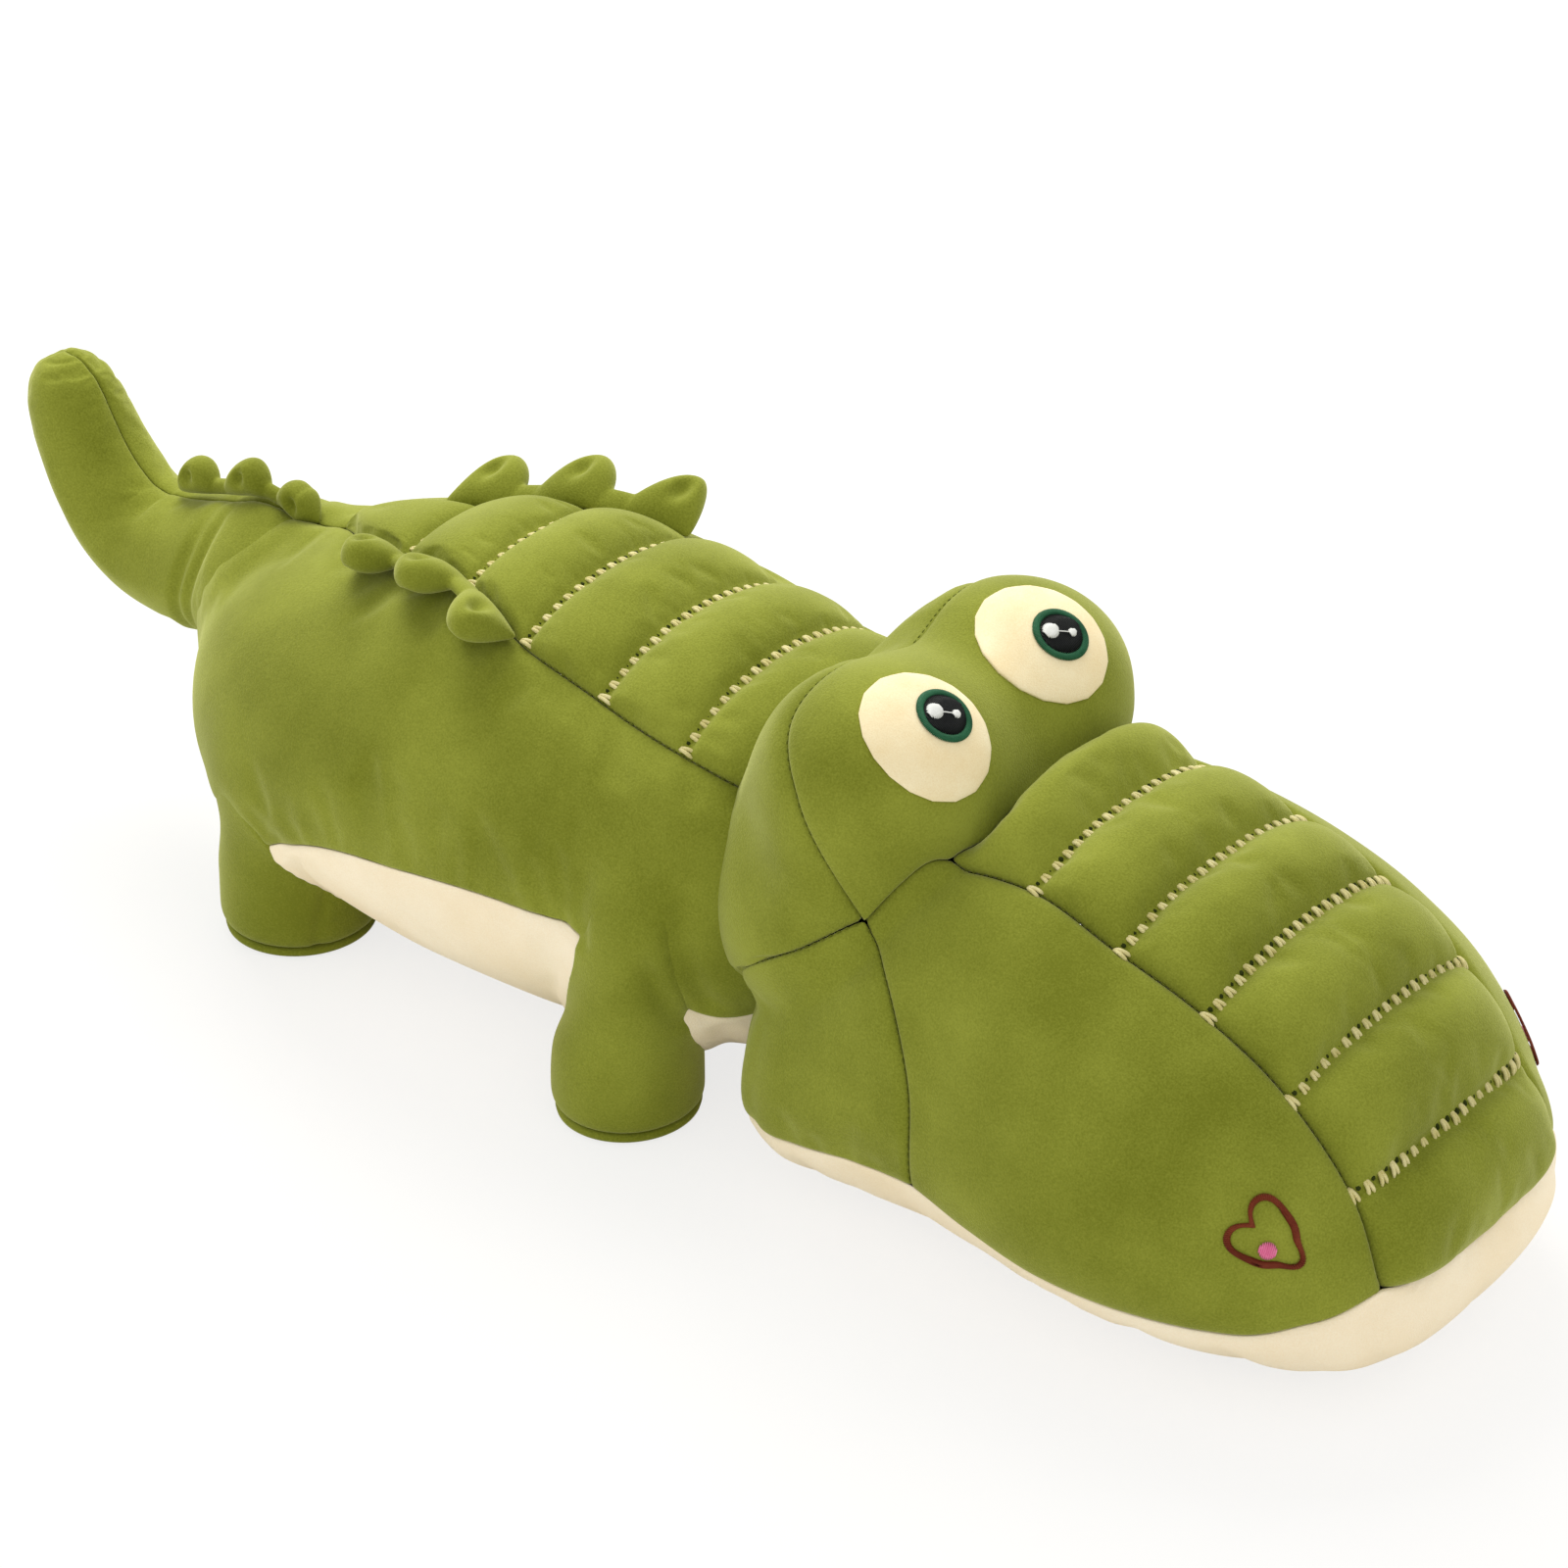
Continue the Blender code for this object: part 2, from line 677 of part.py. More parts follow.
def build_head(parent, green, cream, fibre):
    """The head's eight panels around one filling core."""
    side = seam_curve(side_seam_shares, crown_points)
    crease_side = seam_curve(crease_side_shares, crease_points)
    crease_top = seam_curve(crease_top_shares, middle_points)
    crease_rear = seam_curve(crease_rear_shares, crease_points)
    crease_half = joined(crease_side, crease_top)
    crease = across_and_back(crease_half)
    over = across_and_back(side)
    patches = {}

    corner = np.repeat(crease[:1], crown_points, axis=0)
    patches["face_panel"] = patch_between(over, crease, corner, mirrored(corner))

    seam = seam_curve(snout_seam_shares, snout_points)
    front = across_and_back(seam_curve(jaw_seam_tip_shares, middle_points))
    rear = across_and_back(crease_top)
    patches["snout_top_panel"] = patch_between(seam, mirrored(seam), rear, front, fade=end_fade)

    upper = joined(crease_side, seam)
    lower = seam_curve(jaw_seam_front_shares, len(upper))
    cheek_seam = seam_curve(cheek_seam_shares, cheek_points)
    tip = np.repeat(seam[-1:], len(cheek_seam), axis=0)
    patches["snout_side_right"] = patch_between(upper, lower, cheek_seam, tip)

    jaw_rear = seam_curve(jaw_seam_rear_shares, len(crease_rear))
    neck_side = seam_curve(neck_side_shares, len(cheek_seam))
    patches["cheek_right"] = patch_between(crease_rear, jaw_rear, neck_side, cheek_seam)

    chin_edge = joined(jaw_rear, seam_curve(jaw_seam_front_shares, jaw_points))
    neck_half = [jaw_seam_rear_shares[0], neck_middle_shares[0]]
    neck_curve = across_and_back(seam_curve(neck_half, middle_points))
    chin = patch_between(chin_edge, mirrored(chin_edge), neck_curve, front, fade=end_fade)
    patches["chin_panel"] = chin - sagging(chin.shape) * np.array([0.0, 0.0, jaw_half_width])

    back_edge = across_and_back(joined(crease_rear, side))
    neck_bottom = across_and_back(seam_curve(neck_half, (len(back_edge) + 1) // 2))
    nape = seam_curve(neck_side_shares, nape_points)
    rows = patch_between(back_edge, neck_bottom, nape, mirrored(nape))
    t = np.linspace(0, 1, nape_points)[:, None]
    rows[..., 0] -= np.sin(math.pi * t) * dome_radius * nape_bulge_share
    patches["head_back_panel"] = rows

    pieces = []
    for name, targets in patches.items():
        targets = trimmed(targets, seam_gap)
        rise = 0.0
        if name == "snout_top_panel":
            lines = jaw_rear_x + jaw_length * np.array([crease_top_shares[0][0], *snout_stitch_shares, 1.0])
            place = head_surface(targets, 0.0)
            edge = np.linspace(-1, 1, targets.shape[0])[:, None]
            steep = np.minimum(place[..., 0], snout_front_x - tiny_step)
            rise = snout_quilt_height * quilt_rise(steep, lines, np.broadcast_to(edge, steep.shape))
        outer = head_surface(targets, rise)
        inner = head_surface(targets, -cloth_thickness)
        cloth = cream if name == "chin_panel" else green
        pieces.append(shell(name, outer, inner, cloth, parent))
        if name.endswith("_right"):
            twin = name.replace("_right", "_left")
            pieces.append(shell(twin, mirrored(outer), mirrored(inner), cloth, parent))
    pieces.append(head_form("head_stuffing", -cloth_thickness - head_filling_gap, fibre, parent))
    return pieces


def sagging(shape):
    """Share by which each point of a grid hangs below its edges: nothing at the edges."""
    across = np.linspace(-1, 1, shape[0])[:, None, None]
    along = np.linspace(-1, 1, shape[1])[None, :, None]
    return (1 - across ** 2) * (1 - along ** 2)


# Tail sections from the ball's middle to the tip: share of the length, of the rise and of the radius
tail_section_shares = [
    (0.000, 0.000, 1.000), (0.110, -0.030, 0.955), (0.241, -0.071, 0.921), (0.402, -0.095, 0.868),
    (0.563, -0.071, 0.811), (0.696, 0.028, 0.758), (0.804, 0.199, 0.705), (0.884, 0.404, 0.647),
    (0.938, 0.603, 0.595), (0.969, 0.759, 0.534), (0.987, 0.887, 0.421), (0.995, 0.965, 0.263),
    (1.000, 1.000, 0.120), (1.002, 1.012, 0.015),
]
# Degrees from straight ahead of the rings on the ball, ahead of its middle
tail_ball_degrees = [8, 25, 42, 58, 74]


def tail_rings(lift, sides=tail_sides):
    """Rings from inside the rump to the tail's tip, each starting at the top."""
    around = np.linspace(0, 2 * math.pi, sides, endpoint=False)
    rings = []
    for turn in np.radians(tail_ball_degrees):
        ring = np.stack([np.full(sides, math.cos(turn)), math.sin(turn) * np.sin(around),
                         math.sin(turn) * np.cos(around)], axis=-1)
        rings.append(tail_pivot + (tail_ball_radius + lift) * ring)
    shares = np.array(tail_section_shares)
    spine = tail_pivot + shares[:, :1] * np.array([-tail_length, 0.0, 0.0])
    spine = spine + shares[:, 1:2] * np.array([0.0, 0.0, tail_rise])
    heading = unit(np.gradient(spine, axis=0))
    heading[0] = np.array([-1.0, 0.0, 0.0])
    sideways = np.array([0.0, 1.0, 0.0])
    radii = tail_ball_radius * shares[:, 2]
    passed = np.concatenate([[0.0], np.cumsum(np.linalg.norm(np.diff(spine, axis=0), axis=1))])
    taper = np.arctan(-np.gradient(radii, passed))
    taper[0] = 0.0
    taper[-1] = math.pi / 2
    for place, ahead, radius, turn in zip(spine, heading, radii, taper):
        top = np.cross(sideways, ahead)
        place = place + ahead * lift * math.sin(turn)
        radius = radius + lift * math.cos(turn)
        rings.append(place + radius * (np.sin(around)[:, None] * sideways + np.cos(around)[:, None] * top))
    return np.array(rings)


def build_tail(parent, green, fibre):
    """Two side panels that meet along the top and the bottom, round a filling core."""
    outer = tail_rings(0.0)
    inner = tail_rings(-cloth_thickness)
    half = outer.shape[1] // 2
    pieces = []
    for name, columns in (("tail_panel_left", range(0, half + 1)),
                          ("tail_panel_right", range(half, 2 * half + 1))):
        columns = [c % (2 * half) for c in columns]
        grids = []
        for grid in (outer[:, columns], inner[:, columns]):
            grids.append(trimmed(grid, seam_gap / 2, rows=False))
        pieces.append(shell(name, grids[0], grids[1], green, parent))
    core = tail_rings(-cloth_thickness - tail_filling_gap)[:-3]
    pieces.append(ring_solid("tail_stuffing", core, fibre, parent))
    return pieces


# Leg sections from the floor up: share of the height, shift forward in half lengths,
# shift outward in half widths, and the half length and half width themselves
front_leg_section_shares = [
    (0.000, 0.00, 0.00, 0.90, 0.94), (0.032, 0.00, 0.00, 0.95, 0.985), (0.109, -0.01, 0.01, 1.00, 1.01),
    (0.255, -0.01, 0.02, 0.985, 1.00), (0.409, 0.09, 0.05, 0.90, 0.93), (0.591, 0.23, 0.07, 0.84, 0.865),
    (0.773, 0.33, 0.04, 0.83, 0.82), (0.900, 0.38, -0.06, 0.78, 0.75), (1.000, 0.40, -0.22, 0.66, 0.62),
]
rear_leg_section_shares = [
    (0.000, 0.00, 0.00, 0.87, 0.90), (0.032, 0.00, 0.00, 0.93, 0.945), (0.109, 0.00, 0.01, 1.00, 0.99),
    (0.255, 0.00, 0.015, 1.00, 0.99), (0.409, 0.045, 0.075, 0.94, 0.96), (0.591, 0.11, 0.165, 0.89, 0.915),
    (0.773, 0.155, 0.225, 0.83, 0.855), (0.91, 0.155, 0.225, 0.72, 0.75), (1.000, 0.155, 0.225, 0.60, 0.63),
]


def leg_rings(sections, foot, levels, inset):
    """Level rings of a leg, drawn in by inset."""
    around = np.linspace(0, 2 * math.pi, leg_sides, endpoint=False)
    rings = []
    for level in levels:
        share = level / leg_height
        forward = curve_through(sections, 1, share)
        outward = curve_through(sections, 2, share)
        long = curve_through(sections, 3, share)
        wide = curve_through(sections, 4, share)
        x = foot[0] + forward * leg_half_length + (long * leg_half_length - inset) * np.cos(around)
        y = foot[1] + outward * leg_half_width + (wide * leg_half_width - inset) * np.sin(around)
        rings.append(np.stack([x, y, np.full(leg_sides, level)], axis=-1))
    return np.array(rings)


def build_leg(place, side, sections, foot, torso_cutter, parent, green, fibre):
    """Sleeve, flat sole and filling core of one leg."""
    name = "leg_" + place + "_" + side
    flip = np.array([1.0, 1.0 if side == "left" else -1.0, 1.0])
    steps = np.linspace(0, 1, leg_levels)
    sole = leg_rings(sections, foot, [0.0, sole_thickness], 0.0) * flip
    pieces = [ring_solid(name + "_sole", sole, green, parent, tips=False)]
    low = sole_thickness + seam_gap
    levels = low + (leg_height - low) * steps
    sleeve = shell(name + "_cover", leg_rings(sections, foot, levels, 0.0) * flip,
                   leg_rings(sections, foot, levels, cloth_thickness) * flip, green, parent, around=True)
    low = sole_thickness + filling_gap
    levels = low + (leg_height - low) * steps
    core = leg_rings(sections, foot, levels, cloth_thickness + filling_gap) * flip
    core = ring_solid(name + "_stuffing", core, fibre, parent, tips=False)
    for piece, part in ((sleeve, "_cover"), (core, "_stuffing")):
        if side == "left":
            cut_by(piece, torso_cutter)
        else:
            mirror_of(piece, bpy.data.objects["leg_" + place + "_left" + part])
    return pieces + [sleeve, core]


# How slim a ridge's ends are
ridge_end_share = 0.12


def ridge(name, base, lean, normal, lobe_height, surface, parent):
    """A stuffed strip of rounded lobes standing on a run of base points."""
    count = len(base)
    t = np.linspace(0, 1, count)
    wave = np.abs(np.sin(math.pi * ridge_lobes * t))
    lobe = np.clip((wave - ridge_gap_share) / (1 - ridge_gap_share), 0, 1) ** ridge_round_share
    closing = np.clip(np.minimum(t, 1 - t) * count / 2, ridge_end_share, 1) ** 0.5
    height = lobe_height * (ridge_waist_share + (1 - ridge_waist_share) * lobe) * closing
    thick = (ridge_waist_thickness + (ridge_lobe_thickness - ridge_waist_thickness) * lobe) * closing
    around = np.linspace(0, 2 * math.pi, ridge_sides, endpoint=False)
    across = unit(np.cross(np.gradient(base, axis=0), lean))
    upright = np.sum(lean * normal, axis=-1)
    reach = np.sqrt((height / 2 * upright) ** 2 + (thick / 2) ** 2 * (1 - upright ** 2))
    clear = reach - height / 2 * upright + ridge_seat
    middle = base + lean * height[:, None] / 2 + normal * clear[:, None]
    rings = (middle[:, None] + across[:, None] * (thick[:, None] / 2 * np.sin(around))[..., None]
             + lean[:, None] * (height[:, None] / 2 * np.cos(around))[..., None])
    return ring_solid(name, rings, surface, parent)


# Rings of the tail that its ridge stands along
tail_top_rings = 9


def build_ridges(root, tail, green):
    """Two lobed strips in the back seams and one along the top of the tail root."""
    share = np.linspace(back_ridge_start_share, back_ridge_end_share, ridge_points)
    base = torso_surface(share, back_seam(share), 0.0)
    lean_angle = math.radians(back_ridge_lean_degrees)
    lean = np.tile([0.0, math.sin(lean_angle), math.cos(lean_angle)], (len(base), 1))
    normal = unit(torso_surface(share, back_seam(share), tiny_step) - base)
    pieces = [ridge("dorsal_ridge_left", base, lean, normal, ridge_lobe_height, green, root),
              ridge("dorsal_ridge_right", mirrored(base), mirrored(lean), mirrored(normal),
                    ridge_lobe_height, green, root)]
    x = tail_ridge_start_x - tail_ridge_length * np.linspace(0, 1, ridge_points)
    first = len(tail_ball_degrees) - 2
    tops = tail_rings(0.0)[first:first + tail_top_rings, 0]
    order = np.argsort(tops[:, 0])
    on_tail = np.interp(x, tops[order, 0], tops[order, 2])
    torso_share = np.maximum((x - torso_rear_x) / torso_length, 0.0)
    z = np.maximum(on_tail, torso_point(torso_share, np.zeros_like(x))[:, 2])
    base = np.stack([x, np.zeros_like(x), z], axis=-1)
    up = np.tile([0.0, 0.0, 1.0], (len(base), 1))
    pieces.append(ridge("tail_ridge", base, up, up, tail_ridge_height, green, tail))
    return pieces


# Middles of the face trim, as shares like those of the seams; the hand sewn eyes aren't quite a pair
eye_patch_place_shares = {"right": (0.243, -0.490, 1.186), "left": (0.225, 0.290, 1.173)}
iris_place_shares = {"right": (0.241, -0.413, 1.189), "left": (0.236, 0.331, 1.184)}
nostril_place_share = (0.855, -0.868, 0.466)
nostril_dot_place_share = (0.858, -0.873, 0.437)
glint_way_share = np.array([-0.5, -1.0, 0.5])
large_glint_shift_share = 0.6
small_glint_shift_share = -0.7
disc_ring_shares = [0.36, 0.70, 1.00]


def face_disc(name, centre, width_way, outline, low, surface, parent, thick, sides, hole=0.0):
    """A thin disc that follows the face; outline gives its reach at each angle."""
    around = np.linspace(0, 2 * math.pi, sides, endpoint=False)
    centre = head_surface(centre[None], 0.0)[0]
    out = unit(head_surface(centre[None], disc_reach)[0] - centre)
    right = unit(width_way - out * np.dot(width_way, out))
    up = np.cross(out, right)
    up = up * (1.0 if up[2] > 0 else -1.0)
    reach = outline(around)
    shares = [hole, 1.0] if hole else disc_ring_shares
    flat = np.array([centre + right * (reach * share * np.cos(around))[:, None]
                     + up * (reach * share * np.sin(around))[:, None] for share in shares])
    source = centre - out * disc_reach
    origin = np.broadcast_to(source, flat.shape)
    layers = [head_skin(origin, unit(flat - origin), low + rise) for rise in (thick, 0.0)]
    if hole:
        return shell(name, layers[0], layers[1], surface, parent, around=True)
    middles = [head_skin(source, out, low + rise) for rise in (thick, 0.0)]
    rows = len(shares)
    vertices = list(layers[0].reshape(-1, 3)) + list(layers[1].reshape(-1, 3)) + middles
    count = rows * sides
    faces = grid_faces(rows, sides, 0, True) + grid_faces(rows, sides, count, True)
    edge = (rows - 1) * sides
    for j in range(sides):
        k = (j + 1) % sides
        faces.append((j, k, 2 * count))
        faces.append((count + j, count + k, 2 * count + 1))
        faces.append((edge + j, edge + k, edge + k + count, edge + j + count))
    return new_object(name, vertices, faces, surface, parent)


def round_outline(radius):
    return lambda around: np.full_like(around, radius)


def egg_outline(half_width, half_height):
    def reach(around):
        return 1 / np.sqrt((np.cos(around) / half_width) ** 2 + (np.sin(around) / half_height) ** 2)
    return reach


# The heart's outline: shares of its radius, and spreads and places in radians from its notch
heart_body_share = 0.68
heart_lobe_share = 0.30
heart_point_share = 0.32
heart_notch_share = 0.16
heart_lobe_place = 0.75
heart_lobe_spread = 0.55
heart_point_spread = 0.50
heart_notch_spread = 0.28


def heart_outline(radius, tilt):
    """A plain heart: two lobes above a point, turned by tilt."""
    def reach(around):
        around = around - tilt
        from_top = np.abs((around - math.pi / 2 + math.pi) % (2 * math.pi) - math.pi)
        lobes = heart_lobe_share * np.exp(-((from_top - heart_lobe_place) / heart_lobe_spread) ** 2)
        point = heart_point_share * np.exp(-((math.pi - from_top) / heart_point_spread) ** 2)
        notch = heart_notch_share * np.exp(-(from_top / heart_notch_spread) ** 2)
        return radius * (heart_body_share + lobes + point - notch)
    return reach


def build_face(parent, colours):
    """Eye patches, stitched irises and pupils, glints and the heart shaped nostrils."""
    seat = patch_gap + patch_thickness + trim_gap
    glint_seat = seat + thread_thickness + trim_gap
    pupil_share = (pupil_radius + trim_gap) / iris_radius
    nostril_place = head_place(nostril_place_share)
    dot_place = head_place(nostril_dot_place_share)
    for side, sign in (("right", 1.0), ("left", -1.0)):
        flip = np.array([1.0, sign, 1.0])
        across = np.array([0.0, 1.0, 0.0]) * flip
        patch = egg_outline(eye_patch_half_width, eye_patch_half_height)
        patch_place = head_place(eye_patch_place_shares[side])
        iris_place = head_place(iris_place_shares[side])
        face_disc("eye_patch_" + side, patch_place, across, patch, patch_gap, colours["cream"], parent,
                  patch_thickness, patch_sides)
        face_disc("iris_" + side, iris_place, across, round_outline(iris_radius), seat,
                  colours["iris"], parent, thread_thickness, eye_sides, hole=pupil_share)
        face_disc("pupil_" + side, iris_place, across, round_outline(pupil_radius), seat,
                  colours["pupil"], parent, thread_thickness, eye_sides)
        glints = [("large", large_glint_radius, large_glint_shift_share),
                  ("small", small_glint_radius, small_glint_shift_share)]
        for label, radius, shift_share in glints:
            place = iris_place + glint_way_share * glint_shift * shift_share
            face_disc("eye_glint_" + label + "_" + side, place, across, round_outline(radius), glint_seat,
                      colours["glint"], parent, thread_thickness, glint_sides)
        along = np.array([1.0, 0.0, 0.0])
        nostril_share = 1 - nostril_line / nostril_radius
        nostril_shape = heart_outline(nostril_radius, math.radians(nostril_tilt_degrees))
        face_disc("nostril_heart_" + side, nostril_place * flip, along, nostril_shape,
                  trim_gap, colours["nostril"], parent, thread_thickness, heart_sides, hole=nostril_share)
        face_disc("nostril_dot_" + side, dot_place * flip, along, round_outline(nostril_dot_radius),
                  trim_gap, colours["dot"], parent, thread_thickness, glint_sides)


def build_all():
    clear_scene()
    green = material("green_velour", green_colour, pile_roughness)
    cream = material("cream_velour", cream_colour, pile_roughness)
    fibre = material("fibre_filling", fibre_colour, 1.0)
    root = empty_at("crocodile", (0, 0, 0))
    torso = build_torso(root, green, cream, fibre)
    head = empty_at("head_pivot", head_centre, root)
    build_head(head, green, cream, fibre)
    tail = empty_at("tail_pivot", tail_pivot, root)
    build_tail(tail, green, fibre)

    neck_cutter = head_form("neck_cutter", neck_clearance, None, root, head_cutter_rings, head_cutter_sides)
    tail_root = tail_rings(tail_clearance, tail_cutter_sides)[:tail_cutter_rings]
    tail_cutter = ring_solid("tail_cutter", tail_root, None, root)
    torso_cutter = torso_form("torso_cutter", leg_clearance, None, root, torso_cutter_sides,
                              torso_cutter_steps)
    belly = [piece for piece in torso if piece.name == "belly_panel"]
    cut_both_sides(belly, [neck_cutter])
    cut_both_sides([piece for piece in torso if piece not in belly], [neck_cutter, tail_cutter])

    front_foot = (front_leg_x, front_leg_y)
    rear_foot = (rear_leg_x, rear_leg_y)
    legs = [("front", front_leg_section_shares, front_foot, (front_leg_x, front_hip_y, front_hip_z)),
            ("rear", rear_leg_section_shares, rear_foot, (rear_leg_x, rear_hip_y, rear_hip_z))]
    for place, sections, foot, hip_place in legs:
        for side, sign in (("left", 1.0), ("right", -1.0)):
            hip_point = np.array(hip_place) * np.array([1.0, sign, 1.0])
            hip = empty_at("hip_" + place + "_" + side, hip_point, root)
            build_leg(place, side, sections, foot, torso_cutter, hip, green, fibre)

    for cutter in (neck_cutter, tail_cutter, torso_cutter):
        bpy.data.objects.remove(cutter, do_unlink=True)

    build_ridges(root, tail, green)
    colours = {
        "cream": material("eye_patch_cloth", patch_colour, felt_roughness),
        "iris": material("green_thread", iris_colour, thread_roughness),
        "pupil": material("black_thread", pupil_colour, thread_roughness),
        "glint": material("white_thread", glint_colour, thread_roughness),
        "nostril": material("brown_thread", nostril_colour, thread_roughness),
        "dot": material("pink_thread", dot_colour, thread_roughness),
    }
    build_face(head, colours)
    centre_over_origin(root)


def centre_over_origin(root):
    """Slide the whole toy along X so that its ends are equally far from the origin."""
    ends = []
    for item in bpy.data.objects:
        if item.type == "MESH" and not item.hide_render:
            ends += [(item.matrix_world @ corner.co).x for corner in item.data.vertices]
    root.location.x = -(min(ends) + max(ends)) / 2
    bpy.context.view_layer.update()


build_all()
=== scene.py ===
"""The looks of a stuffed toy crocodile: padded velour panels, quilting stitches and embroidery.

Lengths are in metres. The forms are worked out before the toy is slid to the middle
of its frame, so every new piece is moved by slide_x at the end.
"""
import math

import bmesh
import bpy
import numpy as np
from mathutils import Matrix, Vector


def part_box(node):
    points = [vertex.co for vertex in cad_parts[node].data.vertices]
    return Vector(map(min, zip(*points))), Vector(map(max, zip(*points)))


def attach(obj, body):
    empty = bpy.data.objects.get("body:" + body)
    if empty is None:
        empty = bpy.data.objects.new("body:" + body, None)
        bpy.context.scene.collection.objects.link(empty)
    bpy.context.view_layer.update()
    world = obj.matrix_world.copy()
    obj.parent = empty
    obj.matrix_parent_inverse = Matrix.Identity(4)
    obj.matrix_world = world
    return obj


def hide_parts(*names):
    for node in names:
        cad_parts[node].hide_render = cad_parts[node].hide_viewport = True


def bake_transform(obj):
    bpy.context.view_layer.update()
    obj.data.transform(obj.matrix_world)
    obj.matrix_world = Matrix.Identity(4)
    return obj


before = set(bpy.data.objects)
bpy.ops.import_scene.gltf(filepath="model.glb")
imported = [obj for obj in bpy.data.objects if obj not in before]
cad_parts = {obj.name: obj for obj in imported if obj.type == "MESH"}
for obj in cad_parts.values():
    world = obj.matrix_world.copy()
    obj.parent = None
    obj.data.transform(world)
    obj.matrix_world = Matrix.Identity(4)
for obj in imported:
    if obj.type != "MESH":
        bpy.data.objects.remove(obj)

# Sizes of the toy, as in its frame
torso_rear_x = -0.216
torso_length = 0.316
torso_half_width = 0.100
torso_height = 0.184
belly_height = 0.004
torso_round_share = 2.1
quilt_height = 0.0060
head_centre = np.array([0.121, 0.0, 0.110])
dome_radius = 0.072
dome_half_width = 0.091
eye_bump_centre = np.array([0.128, 0.040, 0.168])
eye_bump_radii = np.array([0.045, 0.048, 0.041])
eye_blend = 0.026
crease_blend = 0.004
jaw_rear_x = 0.085
jaw_length = 0.287
snout_front_x = jaw_rear_x + jaw_length
jaw_half_width = 0.100
snout_top_z = 0.168
nose_share = 0.202
nose_depth_part = 1.75
jaw_bottom_z = 0.0005
jaw_round_share = 2.5
jowl_share = 0.30
spine_rear_share = 0.88
spine_front_share = 1.35
spine_side_share = 0.5
snout_quilt_height = 0.0078
tail_pivot = np.array([-0.210, 0.0, 0.1135])
tail_length = 0.112
tail_rise = 0.0705
tail_ball_radius = 0.038
leg_height = 0.110
leg_half_length = 0.032
leg_half_width = 0.0335
front_leg_x = 0.0365
front_leg_y = 0.0725
rear_leg_x = -0.1500
rear_leg_y = 0.0525
ridge_lobes = 3
ridge_lobe_height = 0.0290
ridge_lobe_thickness = 0.01725
ridge_waist_thickness = 0.0060
ridge_waist_share = 0.42
ridge_gap_share = 0.40
ridge_round_share = 0.8
ridge_trim_share = 0.060
ridge_foot_share = 0.66
ridge_swell_share = 0.46
back_ridge_start_share = 0.235
back_ridge_end_share = 0.590
back_ridge_lean_degrees = 70
tail_ridge_height = 0.0165
tail_ridge_start_x = -0.178
tail_ridge_length = 0.086
eye_patch_half_width = 0.0286
eye_patch_half_height = 0.0348
iris_radius = 0.0112
pupil_radius = 0.0086
large_glint_radius = 0.0031
small_glint_radius = 0.0016
nostril_radius = 0.0165
nostril_line = 0.0027
nostril_dot_radius = 0.0032

# How far the frame is slid from where the forms are worked out
sole_low, sole_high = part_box("leg_front_left_sole")
slide_x = (sole_low[0] + sole_high[0]) / 2 - front_leg_x
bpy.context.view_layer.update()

# Padding
grid_step = 0.0028
cloth_thickness = 0.0014
floor_clearance = 0.0003
seam_depth = 0.0030
seam_reach = 0.0075
stitch_depth = 0.0032
stitch_reach = 0.0085

# Steps and limits of the numerical work
tiny_step = 0.0002
weld_distance = 0.000002
bisection_steps = 30
surface_step = 1e-3
first_share = 1e-5
nearly_nought = 1e-12
least_slope = 1e-9
least_half_size = 1e-4


def curve_through(table, column, at):
    """Smooth curve through one column of a table whose first column is the parameter."""
    knots = np.array([row[0] for row in table], dtype=float)
    values = np.array([row[column] for row in table], dtype=float)
    at = np.clip(np.asarray(at, dtype=float), knots[0], knots[-1])
    slopes = np.gradient(values, knots)
    secants = np.diff(values) / np.diff(knots)
    for i in range(1, len(knots) - 1):
        if secants[i - 1] * secants[i] <= 0:
            slopes[i] = 0.0
        else:
            limit = 3 * min(abs(secants[i - 1]), abs(secants[i]))
            slopes[i] = np.clip(slopes[i], -limit, limit)
    cell = np.clip(np.searchsorted(knots, at, side="right") - 1, 0, len(knots) - 2)
    width = knots[cell + 1] - knots[cell]
    t = (at - knots[cell]) / width
    return ((1 + 2 * t) * (1 - t) ** 2 * values[cell] + t * (1 - t) ** 2 * width * slopes[cell]
            + t * t * (3 - 2 * t) * values[cell + 1] + t * t * (t - 1) * width * slopes[cell + 1])


def signed_power(value, power):
    return np.sign(value) * np.abs(value) ** power


def unit(vectors):
    return vectors / np.maximum(np.linalg.norm(vectors, axis=-1, keepdims=True), nearly_nought)


def mirrored(points):
    return points * np.array([1.0, -1.0, 1.0])


def smooth_step(t):
    t = np.clip(t, 0, 1)
    return t * t * (3 - 2 * t)


def turns(count):
    """Evenly spaced angles once round."""
    return np.linspace(0, 2 * math.pi, count, endpoint=False)


def unit_circle(count):
    """Evenly spaced flat points round a circle."""
    around = turns(count)
    return np.stack([np.cos(around), np.sin(around)], axis=-1)


def last_inside(outside, shape, limit, steps):
    """How far each point can go before the test outside comes true."""
    near = np.zeros(shape)
    far = np.full(shape, limit)
    for _ in range(steps):
        middle = (near + far) / 2
        past = outside(middle)
        far = np.where(past, middle, far)
        near = np.where(past, near, middle)
    return near


def rise_of(field, points):
    """How much a field rises along each axis, over two tiny steps."""
    return np.stack([field(points + step) - field(points - step) for step in np.eye(3) * tiny_step], axis=-1)


